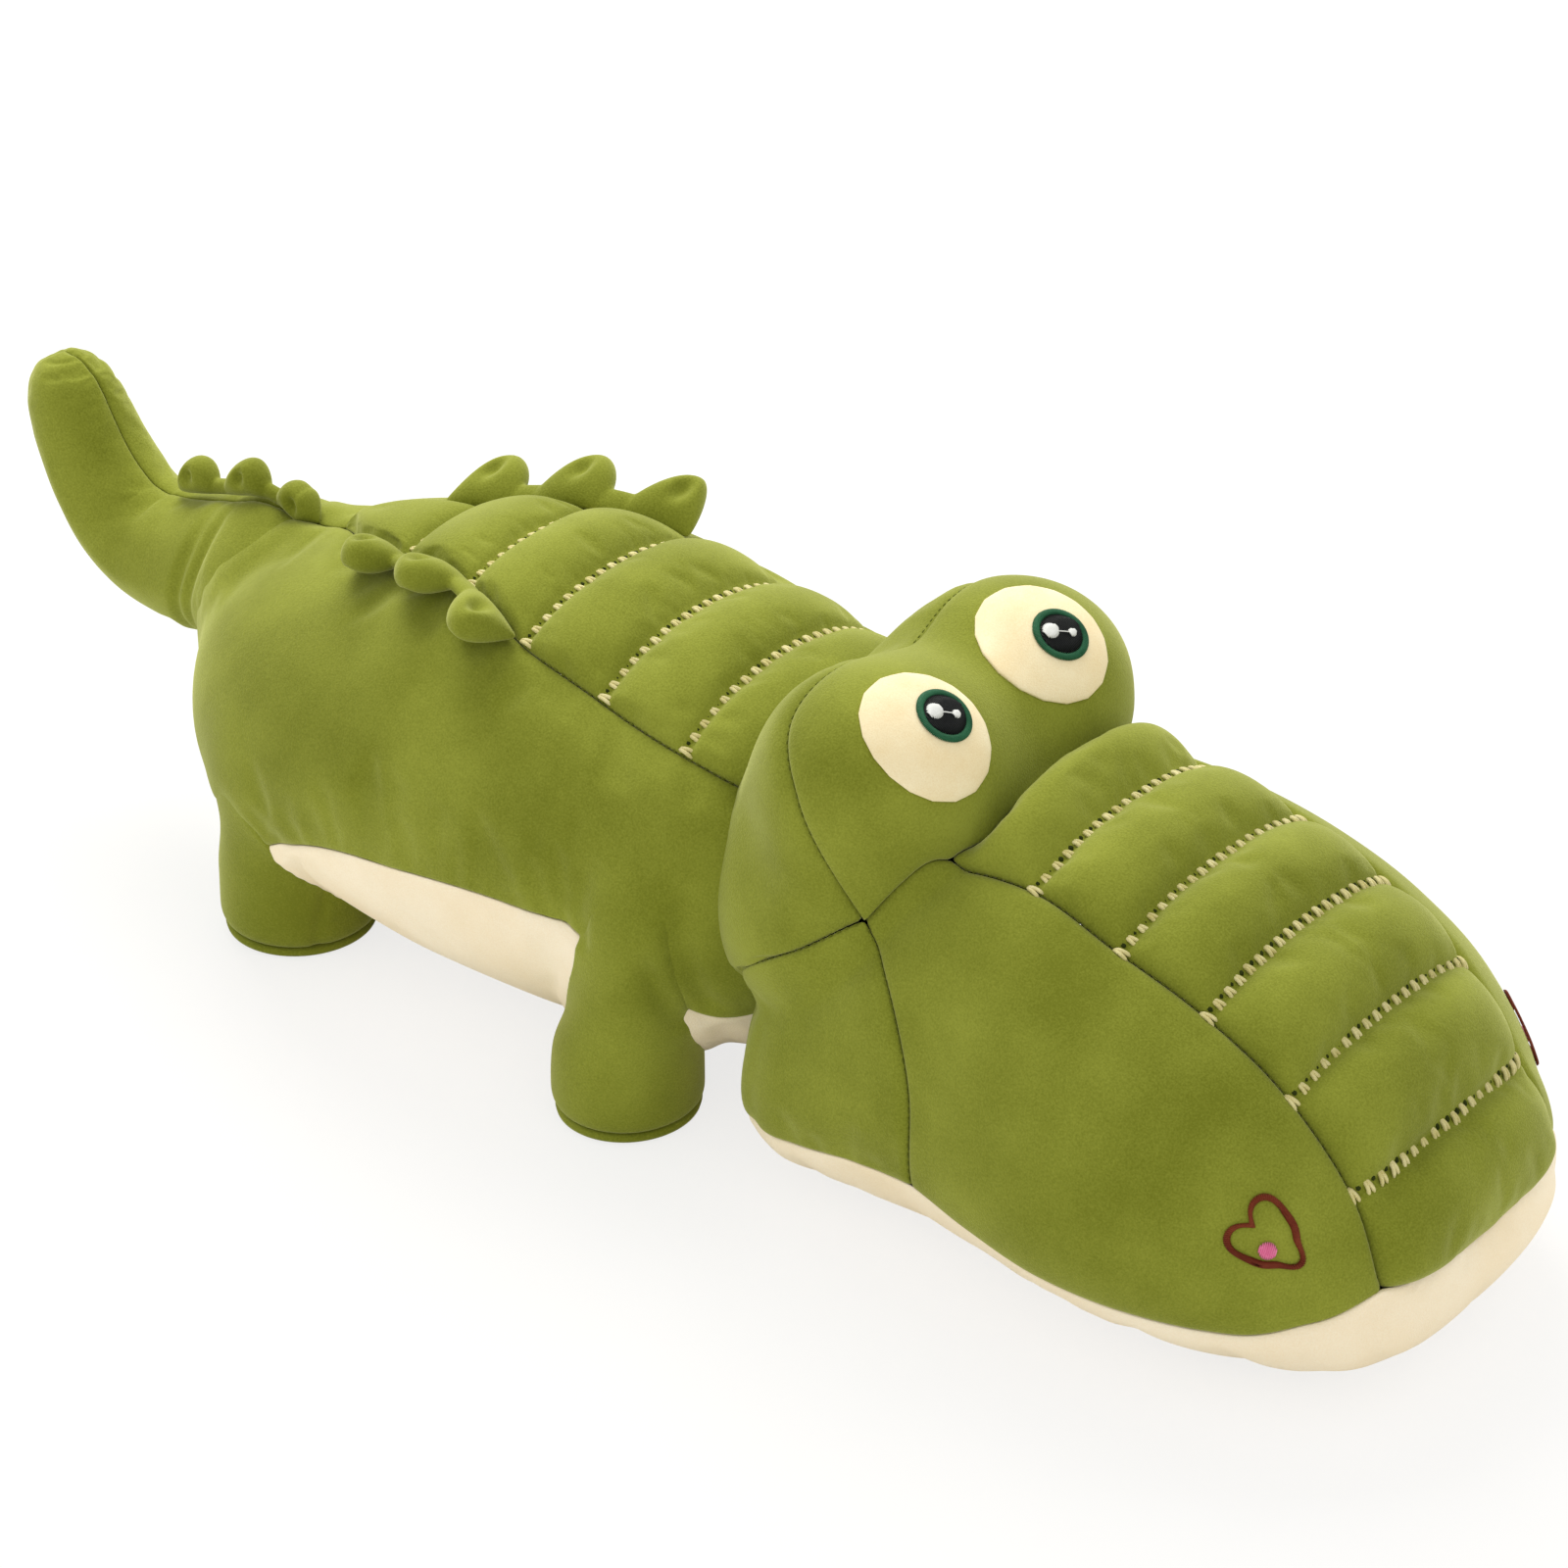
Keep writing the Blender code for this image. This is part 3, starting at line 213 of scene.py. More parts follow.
def grid_faces(rows, columns, start=0, around=False):
    """Quads of a grid of points; around closes each row on itself."""
    faces = []
    span = columns if around else columns - 1
    for i in range(rows - 1):
        for j in range(span):
            k = (j + 1) % columns
            faces.append((start + i * columns + j, start + i * columns + k,
                          start + (i + 1) * columns + k, start + (i + 1) * columns + j))
    return faces


def new_object(name, vertices, faces, surface):
    """One smooth shaded object, turned outward and slid into the frame."""
    mesh = bpy.data.meshes.new(name)
    vertices = np.asarray(vertices, dtype=float) + np.array([slide_x, 0.0, 0.0])
    bm = bmesh.new()
    corners = [bm.verts.new(tuple(v)) for v in vertices]
    for face in faces:
        if len(set(face)) >= 3:
            bm.faces.new([corners[index] for index in face])
    bmesh.ops.remove_doubles(bm, verts=bm.verts, dist=weld_distance)
    bmesh.ops.dissolve_degenerate(bm, edges=bm.edges, dist=weld_distance)
    bmesh.ops.recalc_face_normals(bm, faces=bm.faces)
    if bm.calc_volume(signed=True) < 0:
        bmesh.ops.reverse_faces(bm, faces=bm.faces)
    for face in bm.faces:
        face.smooth = True
    bm.to_mesh(mesh)
    bm.free()
    made = bpy.data.objects.new(name, mesh)
    bpy.context.scene.collection.objects.link(made)
    mesh.materials.append(surface)
    return made


def shell(name, outer, inner, surface, around=False):
    """A closed sheet of cloth between two grids of the same shape."""
    rows, columns, _ = outer.shape
    count = rows * columns
    vertices = np.vstack([outer.reshape(-1, 3), inner.reshape(-1, 3)])
    faces = grid_faces(rows, columns, 0, around) + grid_faces(rows, columns, count, around)
    rims = [[i * columns + j for j in range(columns)] for i in (0, rows - 1)]
    if not around:
        rims += [[i * columns + j for i in range(rows)] for j in (0, columns - 1)]
    for rim in rims:
        pairs = list(zip(rim, rim[1:]))
        if around:
            pairs.append((rim[-1], rim[0]))
        faces += [(a, b, b + count, a + count) for a, b in pairs]
    return new_object(name, vertices, faces, surface)


def ring_solid(name, rings, surface):
    """A closed body through rings of points, with each end closed on its middle point."""
    count, sides, _ = rings.shape
    vertices = list(rings.reshape(-1, 3))
    faces = grid_faces(count, sides, 0, True)
    for end in (0, count - 1):
        first = end * sides
        vertices.append(rings[end].mean(axis=0))
        middle = len(vertices) - 1
        faces += [(first + j, first + (j + 1) % sides, middle) for j in range(sides)]
    return new_object(name, vertices, faces, surface)


def refined(made):
    """Let a piece be one step finer and rounder."""
    refine = made.modifiers.new("refine", "SUBSURF")
    refine.levels = 1
    refine.render_levels = 1


def entered(made, body, stands_for=()):
    """Say what body a new piece rides and hide the solids it stands for."""
    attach(made, body)
    if stands_for:
        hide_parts(*stands_for)


# Torso sections from the rear pole to the neck: length, half width, top and bottom
torso_section_shares = [
    (0.00, 0.00, 0.52, 0.52),
    (0.03, 0.42, 0.71, 0.31),
    (0.08, 0.67, 0.770, 0.180),
    (0.14, 0.81, 0.815, 0.115),
    (0.22, 0.91, 0.860, 0.070),
    (0.34, 0.98, 0.920, 0.030),
    (0.48, 1.00, 0.975, 0.010),
    (0.62, 0.99, 0.970, 0.010),
    (0.75, 0.955, 0.940, 0.025),
    (0.86, 0.890, 0.920, 0.055),
    (0.93, 0.800, 0.885, 0.100),
    (1.00, 0.620, 0.830, 0.200),
]
# Seam between back and side panels, and between side and belly panels: length, degrees from the top
back_seam_shares = [
    (0.00, 0.0), (0.135, 0.0), (0.22, 8.5), (0.319, 15.4), (0.459, 21.7), (0.584, 31.3),
    (0.716, 35.6), (0.844, 40.4), (1.00, 44.0),
]
belly_seam_shares = [
    (0.00, 180.0), (0.07, 180.0), (0.14, 156.0), (0.22, 123.0), (0.32, 106.0), (0.50, 98.0),
    (0.75, 93.5), (0.86, 110.0), (0.93, 124.0), (1.00, 130.0),
]
back_stitch_shares = [0.319, 0.459, 0.584, 0.716, 0.844]
back_panel_start_share = 0.15
torso_table = [(math.sqrt(row[0]), *row[1:]) for row in torso_section_shares]


def torso_section(root):
    """Half width, top and bottom of the torso at the square root of a share of its length."""
    return (torso_half_width * curve_through(torso_table, 1, root),
            belly_height + torso_height * curve_through(torso_table, 2, root),
            belly_height + torso_height * curve_through(torso_table, 3, root))


def torso_point(share, angle):
    """Point on the torso at a share of its length and an angle from the top, in radians."""
    share = np.maximum(share, 0.0)
    half_width, top, bottom = torso_section(np.sqrt(share))
    power = 2 / torso_round_share
    x = torso_rear_x + torso_length * share
    y = half_width * signed_power(np.sin(angle), power)
    z = (top + bottom) / 2 + (top - bottom) / 2 * signed_power(np.cos(angle), power)
    return np.stack(np.broadcast_arrays(x, y, z), axis=-1)


def torso_surface(share, angle):
    """Torso point and outward normal."""
    share = np.asarray(share, dtype=float)
    angle = np.asarray(angle, dtype=float)
    behind = torso_point(np.maximum(share - surface_step, first_share), angle)
    along = torso_point(share + surface_step, angle) - behind
    across = torso_point(share, angle + surface_step) - torso_point(share, angle - surface_step)
    return torso_point(share, angle), unit(np.cross(along, across))


def torso_level(points):
    """Level that is nought on the torso's skin, below it inside and above it outside."""
    share = (points[..., 0] - torso_rear_x) / torso_length
    root = np.sqrt(np.clip(share, tiny_step, 1))
    half_width, top, bottom = torso_section(root)
    half_height = np.maximum((top - bottom) / 2, tiny_step) / root
    y = np.abs(points[..., 1]) / (half_width / root)
    z = np.abs(points[..., 2] - (top + bottom) / 2) / half_height
    total = y ** torso_round_share + z ** torso_round_share + nearly_nought
    return total ** (2 / torso_round_share) - share


def torso_distance(points):
    """Rough signed distance to the torso, close near its skin."""
    slope = rise_of(torso_level, points) / (2 * tiny_step)
    return torso_level(points) / np.maximum(np.linalg.norm(slope, axis=-1), least_slope)


def back_seam(share):
    return np.radians(curve_through(back_seam_shares, 1, share))


def belly_seam(share):
    return np.radians(curve_through(belly_seam_shares, 1, share))


def ellipsoid_distance(points, centre, radii):
    """Rough signed distance to an ellipsoid, exact on its surface."""
    offset = (points - centre) / radii
    reach = np.linalg.norm(offset, axis=-1)
    slope = np.linalg.norm(offset / radii, axis=-1)
    return reach * (reach - 1) / np.maximum(slope, least_slope)


def smooth_union(a, b, blend):
    h = np.clip(0.5 + 0.5 * (b - a) / blend, 0, 1)
    return b * (1 - h) + a * h - blend * h * (1 - h)


# How limbs flow out of the torso
tail_fillet = 0.020
tail_flow_reach = 0.010
tail_flow_fade = 0.020
tail_slim = 0.0110
tail_slim_way = np.array([-0.5, 0.0, -0.866])
tail_stations = 110
front_leg_fillet = 0.012
rear_leg_fillet = 0.010
leg_flow_low = 0.035
leg_flow_fade = 0.030
fillet_limit_share = 0.55
flow_steps = 14
hidden_sink = 0.0030
hidden_ease_part = 3


def flowed(points, normals, other, fillet):
    """Points moved out along their normals on to the smooth join with another form."""
    def outside(move):
        return smooth_union(move, other(points + normals * move[..., None]), fillet) > 0
    near = last_inside(outside, points.shape[:-1], fillet * fillet_limit_share, flow_steps)
    beyond = near - other(points + normals * near[..., None])
    sunk = hidden_sink * np.clip(beyond / (fillet / hidden_ease_part), 0, 1)
    return points + normals * (near - sunk)[..., None]


# Jaw and snout sections: share of the jaw's length, half width, top, bottom
jaw_section_shares = [
    (0.000, 0.00, 0.36, 0.26),
    (0.012, 0.50, 0.50, 0.13),
    (0.045, 0.78, 0.59, 0.060),
    (0.10, 0.92, 0.68, 0.020),
    (0.18, 0.98, 0.81, 0.000),
    (0.27, 1.00, 0.955, 0.000),
    (0.36, 1.02, 1.000, 0.000),
    (0.46, 1.075, 0.985, 0.000),
    (0.58, 1.115, 0.935, 0.000),
    (0.70, 1.080, 0.865, 0.000),
    (0.81, 0.980, 0.765, 0.010),
    (0.90, 0.83, 0.610, 0.035),
    (0.96, 0.64, 0.460, 0.080),
    (0.99, 0.37, 0.325, 0.140),
    (1.000, 0.00, 0.235, 0.205),
]


def jaw_distance(points):
    """Rough signed distance to the jaw and snout."""
    share = np.clip((points[..., 0] - jaw_rear_x) / jaw_length, 0, 1)
    wide, high, low = [curve_through(jaw_section_shares, c, share) for c in (1, 2, 3)]
    half_width = np.maximum(jaw_half_width * wide, least_half_size)
    top = jaw_bottom_z + (snout_top_z - jaw_bottom_z) * high
    bottom = jaw_bottom_z + (snout_top_z - jaw_bottom_z) * low
    half_height = np.maximum((top - bottom) / 2, least_half_size)
    rise = np.clip((points[..., 2] - (top + bottom) / 2) / half_height, -1, 1)
    y = np.abs(points[..., 1]) / (half_width * (1 - jowl_share / 2 * rise))
    z = np.abs(points[..., 2] - (top + bottom) / 2) / half_height
    reach = (y ** jaw_round_share + z ** jaw_round_share + nearly_nought) ** (1 / jaw_round_share)
    past = np.maximum(jaw_rear_x - points[..., 0], points[..., 0] - snout_front_x)
    inside = (reach - 1) * np.minimum(half_width, half_height)
    return np.where(past > 0, np.maximum(inside, past), inside)


def head_raw(points):
    """Rough signed distance to the whole head."""
    dome = ellipsoid_distance(points, head_centre, np.array([dome_radius, dome_half_width, dome_radius]))
    for side in (1.0, -1.0):
        centre = eye_bump_centre * np.array([1.0, side, 1.0])
        dome = smooth_union(dome, ellipsoid_distance(points, centre, eye_bump_radii), eye_blend)
    return smooth_union(dome, jaw_distance(points), crease_blend)


nose_place = np.array([jaw_rear_x + jaw_length * (1 - nose_share / nose_depth_part), 0.0,
                       snout_top_z * nose_share * spine_front_share])


def spine_place(along):
    """Inner line that the head's skin is found from, at a share of its length."""
    rear = np.array([head_centre[0], 0.0, head_centre[2] * spine_rear_share])
    along = np.clip(along, 0, 1)[..., None]
    return rear * (1 - along) + nose_place * along


def head_skin(origin, direction):
    """Where lines from inside the head meet its skin, and the normal there."""
    near = last_inside(lambda reach: head_raw(origin + direction * reach[..., None]) > 0, origin.shape[:-1],
                       2 * jaw_half_width, bisection_steps)
    found = origin + direction * near[..., None]
    return found, unit(rise_of(head_raw, found))


def head_surface(targets):
    """Skin points and normals seen from the head's inner line towards rough targets."""
    rear = head_centre[0]
    origin = spine_place((targets[..., 0] - rear) / (nose_place[0] - rear))
    origin[..., 1] = targets[..., 1] * spine_side_share
    return head_skin(origin, unit(targets - origin))


def head_place(shares):
    """Rough place on the head from shares of its main sizes."""
    shares = np.array(shares, dtype=float)
    return np.array([jaw_rear_x, 0.0, 0.0]) + shares * np.array([jaw_length, jaw_half_width, snout_top_z])


def seam_curve(shares, count):
    """Evenly numbered points on a smooth curve through seam points."""
    points = head_place(shares)
    steps = np.concatenate([[0], np.cumsum(np.linalg.norm(np.diff(points, axis=0), axis=1))])
    table = [(d, *p) for d, p in zip(steps / steps[-1], points)]
    at = np.linspace(0, 1, count)
    return np.stack([curve_through(table, c, at) for c in (1, 2, 3)], axis=-1)


def joined(*curves):
    """One run of points from curves that share their ends."""
    return np.vstack([curves[0]] + [curve[1:] for curve in curves[1:]])


def across_and_back(half):
    """A curve that ends on the middle line, carried on to the left side."""
    return joined(half, mirrored(half)[::-1])


def patch_between(first, last, start, end, fade=1):
    """Grid between two long edges, bent near its ends to follow the two short ones."""
    u = np.linspace(0, 1, len(first))[None, :, None]
    v = np.linspace(0, 1, len(start))[:, None, None]
    flat = first[None] * (1 - v) + last[None] * v
    bend_start = start[:, None] - (first[0] * (1 - v) + last[0] * v)
    bend_end = end[:, None] - (first[-1] * (1 - v) + last[-1] * v)
    return flat + bend_start * (1 - u) ** fade + bend_end * u ** fade


# Seam points on the right half, as rough places that the skin is then found from:
# shares of the jaw's length, its half width and the snout's height
crown_share = (0.080, 0.000, 1.235)
side_seam_shares = [(0.228, -0.840, 0.807), (0.136, -0.800, 0.964), (0.070, -0.640, 1.133),
                    (0.060, -0.350, 1.253), crown_share]
crease_side_shares = [(0.228, -0.840, 0.807), (0.247, -0.770, 0.840), (0.271, -0.698, 0.886),
                      (0.303, -0.590, 0.951)]
crease_top_shares = [(0.303, -0.590, 0.951), (0.322, -0.400, 0.965), (0.319, -0.187, 0.987),
                     (0.316, 0.000, 0.990)]
crease_rear_shares = [(0.024, -0.920, 0.542), (0.129, -0.960, 0.675), (0.228, -0.840, 0.807)]
cheek_seam_shares = [(0.228, -0.840, 0.807), (0.304, -0.980, 0.675), (0.357, -1.040, 0.482),
                     (0.367, -1.040, 0.265)]
jaw_seam_rear_shares = [(-0.003, -0.600, 0.217), (0.070, -0.860, 0.205), (0.209, -1.020, 0.217),
                        (0.367, -1.040, 0.265)]
jaw_seam_front_shares = [(0.367, -1.040, 0.265), (0.542, -1.060, 0.235), (0.700, -1.050, 0.222),
                         (0.826, -0.965, 0.226), (0.921, -0.800, 0.275), (0.966, -0.575, 0.319)]
jaw_seam_tip_shares = [(0.966, -0.575, 0.319), (0.992, -0.300, 0.310), (1.000, 0.000, 0.305)]
snout_seam_shares = [(0.303, -0.590, 0.951), (0.424, -0.560, 0.935), (0.562, -0.595, 0.884),
                     (0.690, -0.590, 0.814), (0.812, -0.580, 0.696), (0.916, -0.565, 0.505),
                     (0.966, -0.575, 0.319)]
neck_side_shares = [(0.024, -0.920, 0.542), (-0.017, -0.750, 0.373), (-0.003, -0.600, 0.217)]
neck_middle_share = (-0.017, 0.000, 0.181)
snout_stitch_shares = [0.424, 0.565, 0.698, 0.822, 0.930]


# Noise of every cloth and thread
patch_detail = 4.0
grain_detail = 3.0
grain_share = 0.42
tone_ends = (0.36, 0.64)
grain_depth = 0.0004
specular_level = 0.15
sheen_roughness = 0.4


def added(tree, kind, values=None, sources=None):
    """A new shader node, with its own values and what is linked into it."""
    node = tree.nodes.new("ShaderNode" + kind)
    for socket, value in (values or {}).items():
        node.inputs[socket].default_value = value
    for socket, source in (sources or {}).items():
        tree.links.new(source, node.inputs[socket])
    return node


def textured(name, dark, light, patch_scale, grain_scale, grain_strength, roughness, sheen=0.0, tint=None):
    """Procedural cloth or thread: patches of tone under a fine grain, with its sheen."""
    made = bpy.data.materials.new(name)
    made.use_nodes = True
    tree = made.node_tree
    place = added(tree, "TexCoord").outputs["Object"]
    patches = added(tree, "TexNoise", {"Scale": patch_scale, "Detail": patch_detail}, {"Vector": place})
    grain = added(tree, "TexNoise", {"Scale": grain_scale, "Detail": grain_detail}, {"Vector": place})
    blend = added(tree, "Mix", {"Factor": grain_share},
                  {"A": patches.outputs["Fac"], "B": grain.outputs["Fac"]})
    ramp = added(tree, "ValToRGB", None, {"Fac": blend.outputs["Result"]})
    for element, position, colour in zip(ramp.color_ramp.elements, tone_ends, (dark, light)):
        element.position = position
        element.color = (*colour, 1.0)
    bump = added(tree, "Bump", {"Strength": grain_strength, "Distance": grain_depth},
                 {"Height": grain.outputs["Fac"]})
    shader = tree.nodes["Principled BSDF"].inputs
    tree.links.new(ramp.outputs["Color"], shader["Base Color"])
    tree.links.new(bump.outputs["Normal"], shader["Normal"])
    shader["Roughness"].default_value = roughness
    shader["Specular IOR Level"].default_value = specular_level
    if sheen:
        shader["Sheen Weight"].default_value = sheen
        shader["Sheen Roughness"].default_value = sheen_roughness
        shader["Sheen Tint"].default_value = (*tint, 1.0)
    return made


# Each surface: dark and light tone, scale of its patches, scale and strength of its grain, roughness, sheen
surface_values = {
    "green_velour_pile": ((0.162, 0.184, 0.012), (0.275, 0.305, 0.036), 20.0, 1300.0, 0.6, 0.92,
                          0.5, (0.92, 0.94, 0.44)),
    "cream_velour_pile": ((0.93, 0.79, 0.55), (0.98, 0.88, 0.68), 22.0, 1500.0, 0.5, 0.92,
                          0.15, (1.0, 0.95, 0.80)),
    "eye_patch_felt": ((0.88, 0.72, 0.42), (0.97, 0.86, 0.58), 60.0, 1800.0, 0.4, 0.85,
                       0.1, (1.0, 0.98, 0.85)),
    "cream_thread": ((0.56, 0.49, 0.17), (0.84, 0.77, 0.42), 150.0, 3000.0, 0.5, 0.6),
    "dark_green_thread": ((0.012, 0.085, 0.035), (0.030, 0.150, 0.070), 120.0, 3500.0, 0.5, 0.5),
    # Seam dots: painted shade of the stitch holes along the seams, darker than the green pile
    "seam_hole_shade": ((0.105, 0.125, 0.009), (0.160, 0.180, 0.018), 120.0, 3500.0, 0.5, 0.8),
    "black_thread": ((0.002, 0.003, 0.003), (0.012, 0.014, 0.013), 120.0, 3500.0, 0.5, 0.45),
    "white_thread": ((0.78, 0.80, 0.76), (0.92, 0.93, 0.90), 120.0, 3500.0, 0.4, 0.5),
    "brown_thread": ((0.110, 0.012, 0.004), (0.210, 0.040, 0.014), 120.0, 3500.0, 0.5, 0.5),
    "pink_thread": ((0.72, 0.14, 0.30), (0.90, 0.34, 0.50), 120.0, 3500.0, 0.4, 0.5),
    # Needle holes: painted shade, dark strands laid where the holes fall in shade
    "needle_hole_shade": ((0.020, 0.028, 0.003), (0.035, 0.045, 0.006), 90.0, 2500.0, 0.4, 0.95),
    "pale_floor": ((0.93, 0.925, 0.915), (0.95, 0.945, 0.935), 2.0, 30.0, 0.02, 0.9),
}
surfaces = {name: textured(name, *values) for name, values in surface_values.items()}
green = surfaces["green_velour_pile"]
quilt_round_share = 0.7
quilt_edge_power = 5


def distances_in(points, stitched_rows=()):
    """Distance of each grid point from each edge, and from the nearest stitched row."""
    down = np.linalg.norm(np.diff(points, axis=0), axis=-1)
    down = np.vstack([np.zeros((1, points.shape[1])), np.cumsum(down, axis=0)])
    right = np.linalg.norm(np.diff(points, axis=1), axis=-1)
    right = np.hstack([np.zeros((points.shape[0], 1)), np.cumsum(right, axis=1)])
    edges = {"first": down, "last": down[-1:] - down, "start": right, "end": right[:, -1:] - right}
    stitch = np.full(points.shape[:2], 1.0)
    for row in stitched_rows:
        stitch = np.minimum(stitch, np.abs(down - down[row:row + 1]))
    return edges, stitch


def rolled_in(distance, reach, depth):
    """How far cloth sinks near a seam that pulls it down."""
    t = np.clip(distance / reach, 0, 1)
    return depth * (1 - np.sqrt(1 - (1 - t) ** 2))


def quilt_rise(position, lines, edge):
    """Height share of a padded panel: low on its stitch lines and at its edges."""
    bounds = np.array(lines)
    cell = np.clip(np.searchsorted(bounds, position, side="right") - 1, 0, len(bounds) - 2)
    t = np.clip((position - bounds[cell]) / (bounds[cell + 1] - bounds[cell]), 0, 1)
    return np.sin(math.pi * t) ** quilt_round_share * (1 - np.abs(edge) ** quilt_edge_power)


# Cloth simulation
swell_frames = 14
swell_cap = 0.0015
swell_settings = {
    "quality": 5, "mass": 0.3, "tension_stiffness": 12, "compression_stiffness": 12, "shear_stiffness": 5,
    "bending_stiffness": 1.2, "use_pressure": True, "uniform_pressure_force": 4.0, "shrink_min": -0.016,
    "vertex_group_mass": "held",
}


def swollen(points, held, cap):
    """The grid of points after its cloth, held along held, is blown out by its filling."""
    rows, columns, _ = points.shape
    mesh = bpy.data.meshes.new("swelling")
    mesh.from_pydata([tuple(p) for p in points.reshape(-1, 3)], [], grid_faces(rows, columns))
    panel = bpy.data.objects.new("swelling", mesh)
    bpy.context.scene.collection.objects.link(panel)
    group = panel.vertex_groups.new(name="held")
    group.add([int(i) for i in np.flatnonzero(held.reshape(-1))], 1.0, "REPLACE")
    cloth = panel.modifiers.new("cloth", "CLOTH")
    for setting, value in swell_settings.items():
        setattr(cloth.settings, setting, value)
    cloth.settings.effector_weights.gravity = 0.0
    cloth.collision_settings.use_collision = False
    cloth.collision_settings.use_self_collision = False
    scene = bpy.context.scene
    for moment in range(1, swell_frames + 1):
        scene.frame_set(moment)
    solved = panel.evaluated_get(bpy.context.evaluated_depsgraph_get())
    out = np.array([tuple(v.co) for v in solved.data.vertices]).reshape(points.shape)
    bpy.data.objects.remove(panel, do_unlink=True)
    scene.frame_set(1)
    move = out - points
    size = np.linalg.norm(move, axis=-1, keepdims=True)
    return points + move * np.minimum(1.0, cap / np.maximum(size, least_slope))


def count_for(length):
    """Number of grid points along a length."""
    return max(4, int(round(length / grid_step)) + 1)


def padded_panel(name, points, normals, also=(), edges=("start", "end"), lift=0.0, stitched_rows=(),
                 body="torso", cloth="green_velour", depth=seam_depth, bend=None, swell=swell_cap):
    """A stuffed cloth panel whose edges and stitched rows are pulled in; gives back its outer grid."""
    far, stitch = distances_in(points, stitched_rows)
    depths = depth if isinstance(depth, dict) else {edge: depth for edge in edges}
    sink = rolled_in(stitch, stitch_reach, stitch_depth)
    for edge, deep in depths.items():
        sink = np.maximum(sink, rolled_in(far[edge], seam_reach, deep))
    outer = points + normals * (lift - sink)[..., None]
    held = stitch < grid_step / 4
    held[0] = held[-1] = True
    held[:, 0] = held[:, -1] = True
    turned = np.cross(np.diff(outer, axis=0)[:, :-1], np.diff(outer, axis=1)[:-1])
    if np.sum(turned * normals[:-1, :-1]) < 0:
        outer = swollen(outer, held, swell)
    else:
        outer = swollen(outer[::-1], held[::-1], swell)[::-1]
    outer[..., 2] = np.maximum(outer[..., 2], floor_clearance)
    made = shell(name + "_padded", outer, outer - normals * cloth_thickness, surfaces[cloth + "_pile"])
    refined(made)
    if bend:
        bent(made, body, *bend)
    else:
        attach(made, body)
    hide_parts(name, *also)
    return outer


# Tail sections from the ball's middle to the tip: share of the length, of the rise and of the radius
tail_section_shares = [
    (0.000, 0.000, 1.000), (0.110, -0.030, 0.955), (0.241, -0.071, 0.921), (0.402, -0.095, 0.868),
    (0.563, -0.071, 0.811), (0.696, 0.028, 0.758), (0.804, 0.199, 0.705), (0.884, 0.404, 0.647),
    (0.938, 0.603, 0.595), (0.969, 0.759, 0.534), (0.987, 0.887, 0.421), (0.995, 0.965, 0.263),
    (1.000, 1.000, 0.120), (1.002, 1.012, 0.015),
]
tail_ball_degrees = [2, 8, 25, 42, 58, 74]
tail_station_power = 1.5
tail_sides = 72
tail_rough_sides = 12
tail_rough_step = 7


def tail_rings(sides):
    """Rings from inside the rump to the tail's tip, each starting at the top, with their normals."""
    around = np.linspace(0, 2 * math.pi, sides + 1)
    shares = np.array(tail_section_shares)
    place = np.linspace(0, 1, tail_stations)
    coarse = tail_pivot + shares[:, :1] * np.array([-tail_length, 0.0, 0.0])
    coarse = coarse + shares[:, 1:2] * np.array([0.0, 0.0, tail_rise])
    passed = np.concatenate([[0.0], np.cumsum(np.linalg.norm(np.diff(coarse, axis=0), axis=1))])
    table = [(p, *c, r) for p, c, r in zip(passed / passed[-1], coarse, shares[:, 2])]
    at = 1 - (1 - place) ** tail_station_power
    spine = np.stack([curve_through(table, c, at) for c in (1, 2, 3)], axis=-1)
    radii = tail_ball_radius * curve_through(table, 4, at)
    heading = unit(np.gradient(spine, axis=0))
    heading[0] = np.array([-1.0, 0.0, 0.0])
    sideways = np.array([0.0, 1.0, 0.0])
    rings = []
    for turn in np.radians(tail_ball_degrees):
        ring = np.stack([np.full(len(around), math.cos(turn)), math.sin(turn) * np.sin(around),
                         math.sin(turn) * np.cos(around)], axis=-1)
        rings.append(tail_pivot + tail_ball_radius * ring)
    for centre, ahead, radius in zip(spine, heading, radii):
        top = np.cross(sideways, ahead)
        rings.append(centre + radius * (np.sin(around)[:, None] * sideways + np.cos(around)[:, None] * top))
    rings = np.array(rings)
    along = np.gradient(rings, axis=0)
    across = np.gradient(rings, axis=1)
    across[:, 0] = across[:, -1] = rings[:, 1] - rings[:, -2]
    normal = unit(np.cross(across, along))
    centres = rings[:, :-1].mean(axis=1, keepdims=True)
    if np.sum(normal * (rings - centres)) < 0:
        normal = -normal
    return rings, normal


# Leg sections from the floor up: share of the height, shift forward in half lengths,
# shift outward in half widths, and the half length and half width themselves
front_leg_section_shares = [
    (0.000, 0.00, 0.00, 0.80, 0.84), (0.032, 0.00, 0.00, 0.85, 0.885), (0.109, -0.01, 0.01, 0.90, 0.92),
    (0.255, 0.00, 0.02, 0.885, 0.90), (0.409, 0.11, 0.04, 0.80, 0.83), (0.591, 0.25, 0.05, 0.76, 0.78),
    (0.773, 0.33, 0.03, 0.78, 0.77), (0.900, 0.38, -0.06, 0.78, 0.75), (1.000, 0.40, -0.22, 0.66, 0.62),
]
rear_leg_section_shares = [
    (0.000, 0.00, 0.00, 0.87, 0.90), (0.032, 0.00, 0.00, 0.93, 0.945), (0.109, 0.00, 0.01, 1.00, 0.99),
    (0.255, 0.00, 0.015, 1.00, 0.99), (0.409, 0.045, 0.075, 0.94, 0.96), (0.591, 0.11, 0.165, 0.89, 0.915),
    (0.773, 0.155, 0.225, 0.83, 0.855), (0.91, 0.155, 0.225, 0.72, 0.75), (1.000, 0.155, 0.225, 0.60, 0.63),
]


